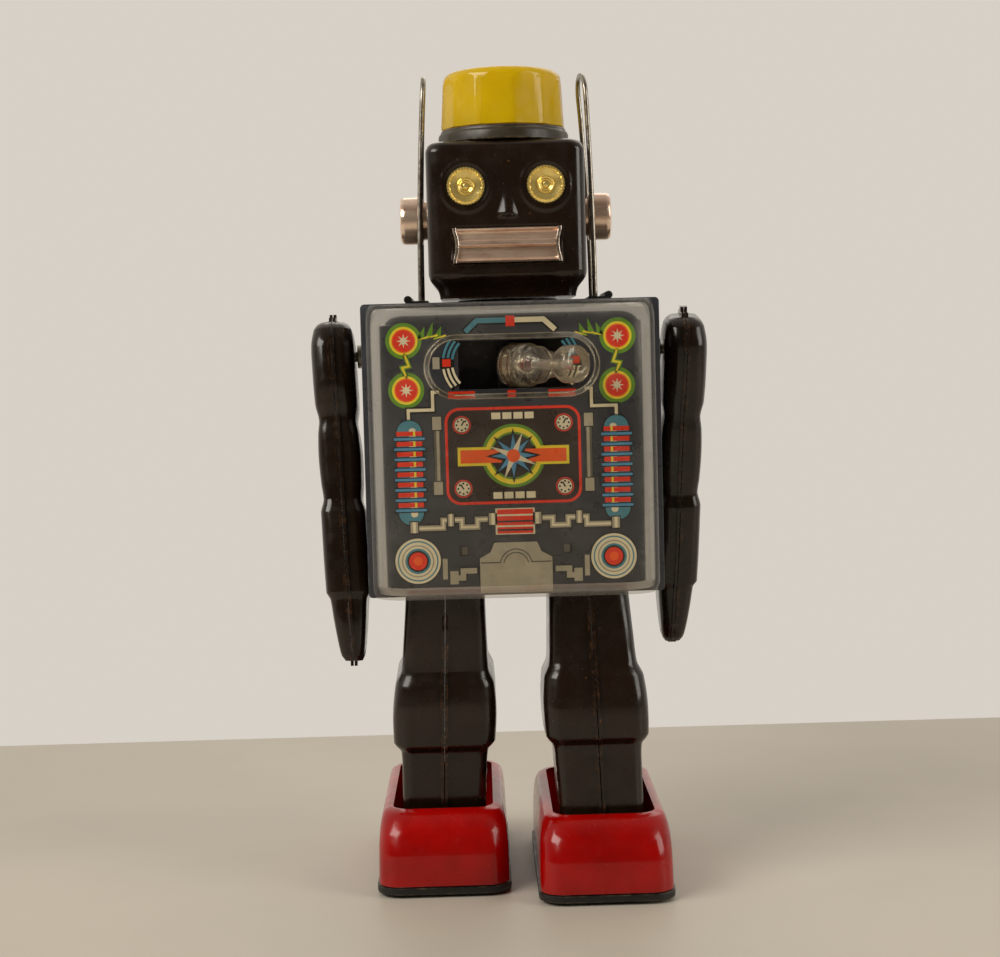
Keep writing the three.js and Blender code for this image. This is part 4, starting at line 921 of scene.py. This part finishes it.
class Print:
    """Flat printed shapes on the front panel, gathered by ink, each a thin closed prism."""

    def __init__(self):
        self.inks = {}

    def shape(self, ink, outline, layer=1):
        front = PANEL_FACE - 0.035 * layer
        verts, faces = self.inks.setdefault(ink, ([], []))
        start, count = len(verts), len(outline)
        verts += [(x, front, z) for x, z in outline]
        verts += [(x, PANEL_FACE + 0.01, z) for x, z in outline]
        faces.append(tuple(range(start, start + count)))
        faces.append(tuple(reversed(range(start + count, start + 2 * count))))
        for i in range(count):
            j = (i + 1) % count
            faces.append((start + i, start + count + i, start + count + j, start + j))

    def both(self, ink, outline, layer=1):
        self.shape(ink, outline, layer)
        self.shape(ink, [(-x, z) for x, z in reversed(outline)], layer)

    def disc(self, ink, x, z, radius, layer=1, mirror=False):
        outline = arc(x, z, radius, 0, 360, 48)[:-1]
        (self.both if mirror else self.shape)(ink, outline, layer)

    def bar(self, ink, x0, x1, z0, z1, layer=1, mirror=False, radius=0.0):
        if radius:
            outline = [(x, z) for x, z, _ in rounded_ring(x0, x1, z0, z1, radius, 0, 8)]
        else:
            outline = [(x0, z0), (x1, z0), (x1, z1), (x0, z1)]
        (self.both if mirror else self.shape)(ink, outline, layer)

    def pipe(self, ink, points, width, layer=1, mirror=False):
        """A line of even width with mitred bends and ends run on by half its width."""
        half = width / 2
        path = [Vector(p) for p in points]
        along = [(b - a).normalized() for a, b in zip(path, path[1:])]
        path[0] -= half * along[0]
        path[-1] += half * along[-1]
        sides = []
        for point, before, after in zip(path, along[:1] + along, along + along[-1:]):
            across = Vector((before.y + after.y, -before.x - after.x))
            sides.append((point, half * across / (1 + before.dot(after))))
        outline = [tuple(p + out) for p, out in sides] + [tuple(p - out) for p, out in reversed(sides)]
        (self.both if mirror else self.shape)(ink, outline, layer)

    def band(self, ink, x, z, radius, width, start, end, layer=1, mirror=False):
        steps = max(4, round(abs(end - start) / 6))
        outline = arc(x, z, radius + width / 2, start, end, steps)
        outline += arc(x, z, radius - width / 2, end, start, steps)
        (self.both if mirror else self.shape)(ink, outline, layer)

    def star(self, ink, x, z, outer, inner, points, layer=1, phase=90, mirror=False):
        outline = []
        for i in range(2 * points):
            radius = inner if i % 2 else outer
            angle = math.radians(phase + 180 * i / points)
            outline.append((x + radius * math.cos(angle), z + radius * math.sin(angle)))
        (self.both if mirror else self.shape)(ink, outline, layer)


INKS = {
    "ink_black": linear(22, 20, 20),
    "ink_plate": linear(44, 30, 24),
    "ink_red": linear(226, 52, 24),
    "ink_orange": linear(242, 92, 28),
    "ink_yellow": linear(238, 216, 52),
    "ink_green": linear(98, 146, 40),
    "ink_teal": linear(74, 132, 150),
    "ink_blue": linear(80, 144, 184),
    "ink_cream": linear(224, 214, 182),
    "ink_grey": linear(165, 158, 138),
    "ink_dim": linear(92, 88, 78),
    "ink_slate": linear(48, 50, 56),
}


def print_lamps(art):
    for x, z in ((30.8, 161.1), (30.4, 146.9)):
        art.disc("ink_green", x, z, 5.2, 1, mirror=True)
        art.disc("ink_yellow", x, z, 4.1, 2, mirror=True)
        art.disc("ink_orange", x, z, 3.4, 3, mirror=True)
        art.disc("ink_red", x, z, 3.0, 4, mirror=True)
        art.star("ink_cream", x, z, 2.1, 0.8, 8, 5, mirror=True)
    bolt = [(30.6, 157.2), (29.4, 153.8), (31.4, 153.4), (30.2, 150.6)]
    art.pipe("ink_green", bolt, 1.3, 1, mirror=True)
    art.pipe("ink_yellow", bolt, 0.6, 2, mirror=True)
    for x, z, reach in ((25, 161.6, 3.6), (22.6, 162.0, 4.4), (20.2, 161.8, 3.4)):
        art.both("ink_green", [(x + 2, z - 0.7), (x + 1.4, z + 0.9), (x - 0.4, z + reach), (x - 0.2, z)], 1)
        art.both("ink_yellow", [(x + 2.2, z - 0.4), (x - 1.6, z + 0.9), (x - 1.8, z + 0.3)], 2)


def print_window_frame(art):
    arch = [(9.6, 166.4), (12.4, 163.8)]
    art.pipe("ink_black", [(-12.4, 163.8), (-9.6, 166.4), (9.6, 166.4), (12.4, 163.8)], 2.5, 1)
    art.pipe("ink_cream", [(0, 166.4)] + arch, 1.5, 2)
    art.pipe("ink_teal", [(0, 166.4)] + [(-x, z) for x, z in arch], 1.5, 2)
    art.bar("ink_red", -1.3, 1.3, 164.6, 167.6, 3)
    for k, radius in enumerate((8.6, 9.9, 11.2)):
        art.band("ink_black", 8.4, 154.3, radius, 1.2, -43, 43, 1, mirror=True)
        art.band("ink_teal", 8.4, 154.3, radius, 0.7, 8, 42 - 2 * k, 2, mirror=True)
        art.band("ink_cream", 8.4, 154.3, radius, 0.7, -42 + 2 * k, -8, 2, mirror=True)
    art.bar("ink_black", 17.4, 20.4, 153.1, 155.9, 3, mirror=True)
    art.bar("ink_red", 17.4, 19.8, 153.4, 155.6, 4, mirror=True)
    art.bar("ink_grey", 20.6, 22.6, 152.8, 156.2, 3, mirror=True)
    art.bar("ink_red", 10.6, 18.4, 144.0, 146.2, 1, mirror=True)
    art.bar("ink_cream", 10.6, 16.4, 144.9, 145.2, 2, mirror=True)
    art.bar("ink_red", -1.2, 1.2, 144.2, 146.2, 1)


def print_coils(art):
    stair = [(21.4, 146.2), (22.9, 146.2), (22.9, 141.1), (30.0, 141.1), (30.0, 138.6)]
    art.pipe("ink_black", stair, 1.9, 1, mirror=True)
    art.pipe("ink_cream", stair, 0.9, 2, mirror=True)
    x = 29.9
    art.bar("ink_black", x - 3.9, x + 3.9, 107.7, 138.5, 2, mirror=True, radius=3.8)
    art.bar("ink_teal", x - 3.6, x + 3.6, 108.0, 138.2, 3, mirror=True, radius=3.5)
    art.bar("ink_cream", x - 1.9, x + 0.1, 110.2, 136.0, 4, mirror=True, radius=0.9)
    for i in range(8):
        z = 134.4 - 2.95 * i
        art.bar("ink_red", x - 3.7, x + 3.7, z - 0.65, z + 0.65, 5, mirror=True)
        art.bar("ink_yellow", x - 1.7, x - 1.1, z - 0.65, z + 0.65, 6, mirror=True)
        art.bar("ink_black", x - 4.7, x + 4.7, z - 2.2, z - 0.85, 5, mirror=True, radius=0.4)
        art.bar("ink_blue", x - 4.5, x + 4.5, z - 1.9, z - 1.15, 6, mirror=True, radius=0.3)
    for low in (135.0, 116.2):
        art.bar("ink_black", 20.3, 23.5, low, low + 4.4, 1, mirror=True)
        art.bar("ink_grey", 20.6, 23.2, low + 0.3, low + 4.1, 2, mirror=True)
    art.bar("ink_black", 20.8, 23.0, 120.6, 135.0, 1, mirror=True)
    art.bar("ink_dim", 21.0, 22.8, 120.6, 135.0, 2, mirror=True)
    art.bar("ink_grey", 21.3, 22.1, 120.6, 135.0, 3, mirror=True)


def print_dials(art):
    for x in (-14.7, 14.7):
        for z, hand in ((136.5, 60), (118.1, 120)):
            art.disc("ink_red", x, z, 2.6, 4)
            art.disc("ink_plate", x, z, 2.25, 5)
            art.disc("ink_cream", x, z, 2.05, 6)
            for i in range(8):
                angle = math.radians(45 * i)
                art.disc("ink_black", x + 1.5 * math.cos(angle), z + 1.5 * math.sin(angle), 0.3, 7)
            tip = (x + 1.2 * math.cos(math.radians(hand)), z + 1.2 * math.sin(math.radians(hand)))
            art.pipe("ink_black", [(x, z), tip], 0.45, 7)


def print_centre(art):
    art.bar("ink_red", -19.6, 19.6, 113.4, 141.5, 1, radius=4.2)
    art.bar("ink_plate", -18.8, 18.8, 114.2, 140.7, 2, radius=3.5)
    print_dials(art)
    for z in (138.9, 115.9):
        for i in range(4):
            x = -4.8 + 3.2 * i
            art.bar("ink_cream", x - 1.3, x + 1.3, z - 0.95, z + 0.95, 3)
    z = 127.3
    art.disc("ink_green", 0, z, 9.2, 3)
    art.disc("ink_yellow", 0, z, 8.3, 4)
    art.disc("ink_green", 0, z, 6.9, 5)
    art.disc("ink_plate", 0, z, 6.3, 6)
    art.bar("ink_yellow", -16.1, 16.1, z - 2.7, z + 2.7, 5)
    art.bar("ink_orange", -15.3, 15.3, z - 1.9, z + 1.9, 7)
    art.star("ink_black", 0, z, 8.0, 3.5, 8, 8, 90)
    art.star("ink_blue", 0, z, 6.4, 2.2, 8, 9, 90)
    art.star("ink_cream", 0, z, 7.4, 1.3, 4, 10, 67.5)
    art.disc("ink_orange", 0, z, 1.9, 11)


def print_pipeline(art):
    run = [(28.2, 106.9), (20.8, 106.9), (20.8, 109.1), (15.4, 109.1), (15.4, 106.9), (10.9, 106.9)]
    run += [(10.9, 109.1), (7.0, 109.1)]
    art.pipe("ink_black", run, 2.3, 1, mirror=True)
    art.pipe("ink_grey", run, 1.6, 2, mirror=True)
    art.pipe("ink_cream", run, 0.6, 3, mirror=True)
    for x, z, w, h in ((18.6, 109.1, 1.7, 3.6), (6.4, 109.1, 2.4, 3.4), (29.2, 107.2, 2.2, 3.2)):
        wide, high = w / 2, h / 2
        art.bar("ink_black", x - wide - 0.3, x + wide + 0.3, z - high - 0.3, z + high + 0.3, 4, mirror=True)
        art.bar("ink_grey", x - wide, x + wide, z - high, z + high, 5, mirror=True)
        art.bar("ink_cream", x - w / 5, x + w / 5, z - high, z + high, 6, mirror=True)
    art.bar("ink_cream", -5.7, 5.7, 104.5, 112.1, 5)
    art.bar("ink_red", -5.2, 5.2, 104.8, 111.8, 6)
    for z, ink in ((110.1, "ink_cream"), (108.3, "ink_slate"), (106.9, "ink_cream"), (105.8, "ink_slate")):
        art.bar(ink, -5.2, 5.2, z - 0.25, z + 0.25, 7)


def print_foot(art):
    x, z = 28.4, 97.4
    inks = ("black", "cream", "teal", "cream", "grey", "cream", "teal", "black", "red", "orange")
    radii = (6.9, 6.6, 5.9, 5.5, 4.7, 4.3, 3.7, 3.1, 2.6, 1.3)
    for layer, (ink, radius) in enumerate(zip(inks, radii)):
        art.disc("ink_" + ink, x, z, radius, 1 + layer, mirror=True)
    cap = [(-10.5, 87.6), (10.5, 87.6), (10.5, 97.7), (7.4, 99.4), (6.2, 102.2), (-6.2, 102.2), (-7.4, 99.4)]
    cap += [(-10.5, 97.7)]
    art.shape("ink_black", [(px * 1.035, 87.4 + (pz - 87.6) * 1.02) for px, pz in cap], 1)
    art.shape("ink_grey", cap, 2)
    art.band("ink_dim", 0, 95.6, 4.6, 0.35, 10, 170, 3)
    art.band("ink_dim", 0, 95.6, 3.6, 0.35, 10, 170, 3)
    art.bar("ink_dim", 4.4, 10.2, 96.2, 96.6, 3, mirror=True)
    art.bar("ink_black", 14.6, 16.4, 98.6, 101.6, 1, mirror=True)
    art.bar("ink_dim", 14.0, 15.6, 99.0, 101.2, 2, mirror=True)
    elbow = [(12.2, 94.2), (15.4, 94.2), (15.4, 92.2), (17.4, 92.2)]
    art.pipe("ink_black", elbow, 2.3, 1, mirror=True)
    art.pipe("ink_grey", elbow, 1.6, 2, mirror=True)
    art.bar("ink_grey", 16.8, 19.2, 90.4, 94.2, 3, mirror=True)
    art.pipe("ink_grey", [(20.6, 97.2), (20.6, 92.6)], 1.4, 2, mirror=True)


def front_print():
    art = Print()
    for draw in (print_lamps, print_window_frame, print_coils, print_centre, print_pipeline, print_foot):
        draw(art)
    for ink, (verts, faces) in art.inks.items():
        LOOKS[ink] = printed_ink(ink, INKS[ink])
        show(finish_mesh("print_" + ink, verts, faces, 30), ink, "torso", slot="panel_tin")


# ------------------------------------------------------------------ assembly

REFINED = {
    "torso_shell": 0.35,
    "torso_base": 0.2,
    "front_panel": 0.2,
    "chest_cover": 0.12,
    "gun_housing": 0.15,
    "battery_door": 0.25,
    "switch_knob": 0.3,
    "aerial_clip_left": 0.2,
    "aerial_clip_right": 0.2,
    "gun_bracket": 0.15,
    "sole_left": 0.3,
    "sole_right": 0.3,
    "ankle_pin_left": 0.15,
    "ankle_pin_right": 0.15,
    "arm_left_pin": 0.15,
    "arm_right_pin": 0.15,
}


def paint_frame():
    """Every CAD node gets its slot's finish, for the ones that stay in view."""
    for node, obj in NODES.items():
        obj.data.materials.clear()
        obj.data.materials.append(LOOKS[SLOT_OF[node]])


def build_robot():
    paint_frame()
    for node, width in REFINED.items():
        refined(node, width)
    head_face()
    head_cap()
    lamp_dome()
    lamp_collar()
    mouth()
    gun_barrel()
    gun_reflector()
    cover_bead()
    front_print()
    for name, sign in SIDES:
        eye(name, sign)
        ear(name, sign)
        aerial(name, sign)
        for part in ("outer", "inner"):
            arm_half(name, part, sign)
            leg_half(name, part, sign)
        shoe(name, sign)


# ------------------------------------------------------------------ stage


def floor():
    size, back = 3000, 206
    corners = [(-size, -size, 0), (size, -size, 0), (size, back, 0), (-size, back, 0)]
    ground = finish_mesh("floor", corners, [(0, 1, 2, 3)])
    material, tree, shader = new_material("floor_board", linear(190, 182, 168), 0.5)
    base = vary_colour(tree, linear(190, 182, 168), 0.03, 60)
    tree.links.new(base, shader.inputs["Base Color"])
    ground.data.materials.append(material)


def area_light(name, at, aim, size, power, colour=(1, 0.95, 0.88)):
    data = bpy.data.lights.new(name, "AREA")
    data.shape = "RECTANGLE"
    data.size, data.size_y = size
    data.energy = power
    data.color = colour
    lamp = bpy.data.objects.new(name, data)
    lamp.location = at
    lamp.rotation_euler = (Vector(aim) - Vector(at)).to_track_quat("-Z", "Y").to_euler()
    bpy.context.scene.collection.objects.link(lamp)


def world_light():
    """A pale room, dimmer on the side that the robot faces."""
    world = bpy.data.worlds.new("room")
    bpy.context.scene.world = world
    world.use_nodes = True
    tree = world.node_tree
    source = add_node(tree, "ShaderNodeTexCoord")
    split = add_node(tree, "ShaderNodeSeparateXYZ", {"Vector": source.outputs["Generated"]})
    facing = remap(tree, split.outputs["Y"], -0.5, 0.5)
    colour = blend_colour(tree, facing, linear(84, 78, 70), linear(214, 207, 197))
    background = tree.nodes["Background"]
    tree.links.new(colour, background.inputs["Color"])
    background.inputs["Strength"].default_value = 1.0


def camera():
    pan, tilt, roll = (math.radians(a) for a in (CAMERA_PAN, CAMERA_TILT, CAMERA_ROLL))
    right = Vector((math.cos(pan), math.sin(pan), 0))
    level = Vector((-math.sin(pan), math.cos(pan), 0))
    ahead = math.cos(tilt) * level - Vector((0, 0, math.sin(tilt)))
    up = math.sin(tilt) * level + Vector((0, 0, math.cos(tilt)))
    rolled_right = math.cos(roll) * right + math.sin(roll) * up
    rolled_up = math.cos(roll) * up - math.sin(roll) * right
    matrix = Matrix((rolled_right, rolled_up, -ahead)).transposed().to_4x4()
    matrix.translation = Vector(CAMERA_AT) * MM
    data = bpy.data.cameras.new("camera")
    data.lens = CAMERA_LENS
    data.sensor_width = 36
    data.sensor_fit = "HORIZONTAL"
    data.clip_start = 0.01
    view = bpy.data.objects.new("camera", data)
    view.matrix_world = matrix
    bpy.context.scene.collection.objects.link(view)
    bpy.context.scene.camera = view


bpy.context.scene.view_settings.view_transform = "Standard"
camera()
floor()
world_light()
area_light("key", (-0.7, -0.5, 0.75), (0, 0, 0.12), (0.7, 0.5), 8)
area_light("fill", (0.75, -0.35, 0.45), (0, 0, 0.12), (0.4, 0.6), 3)
area_light("back", (0.2, 0.7, 0.7), (0, 0, 0.15), (0.8, 0.5), 1.2)
build_robot()
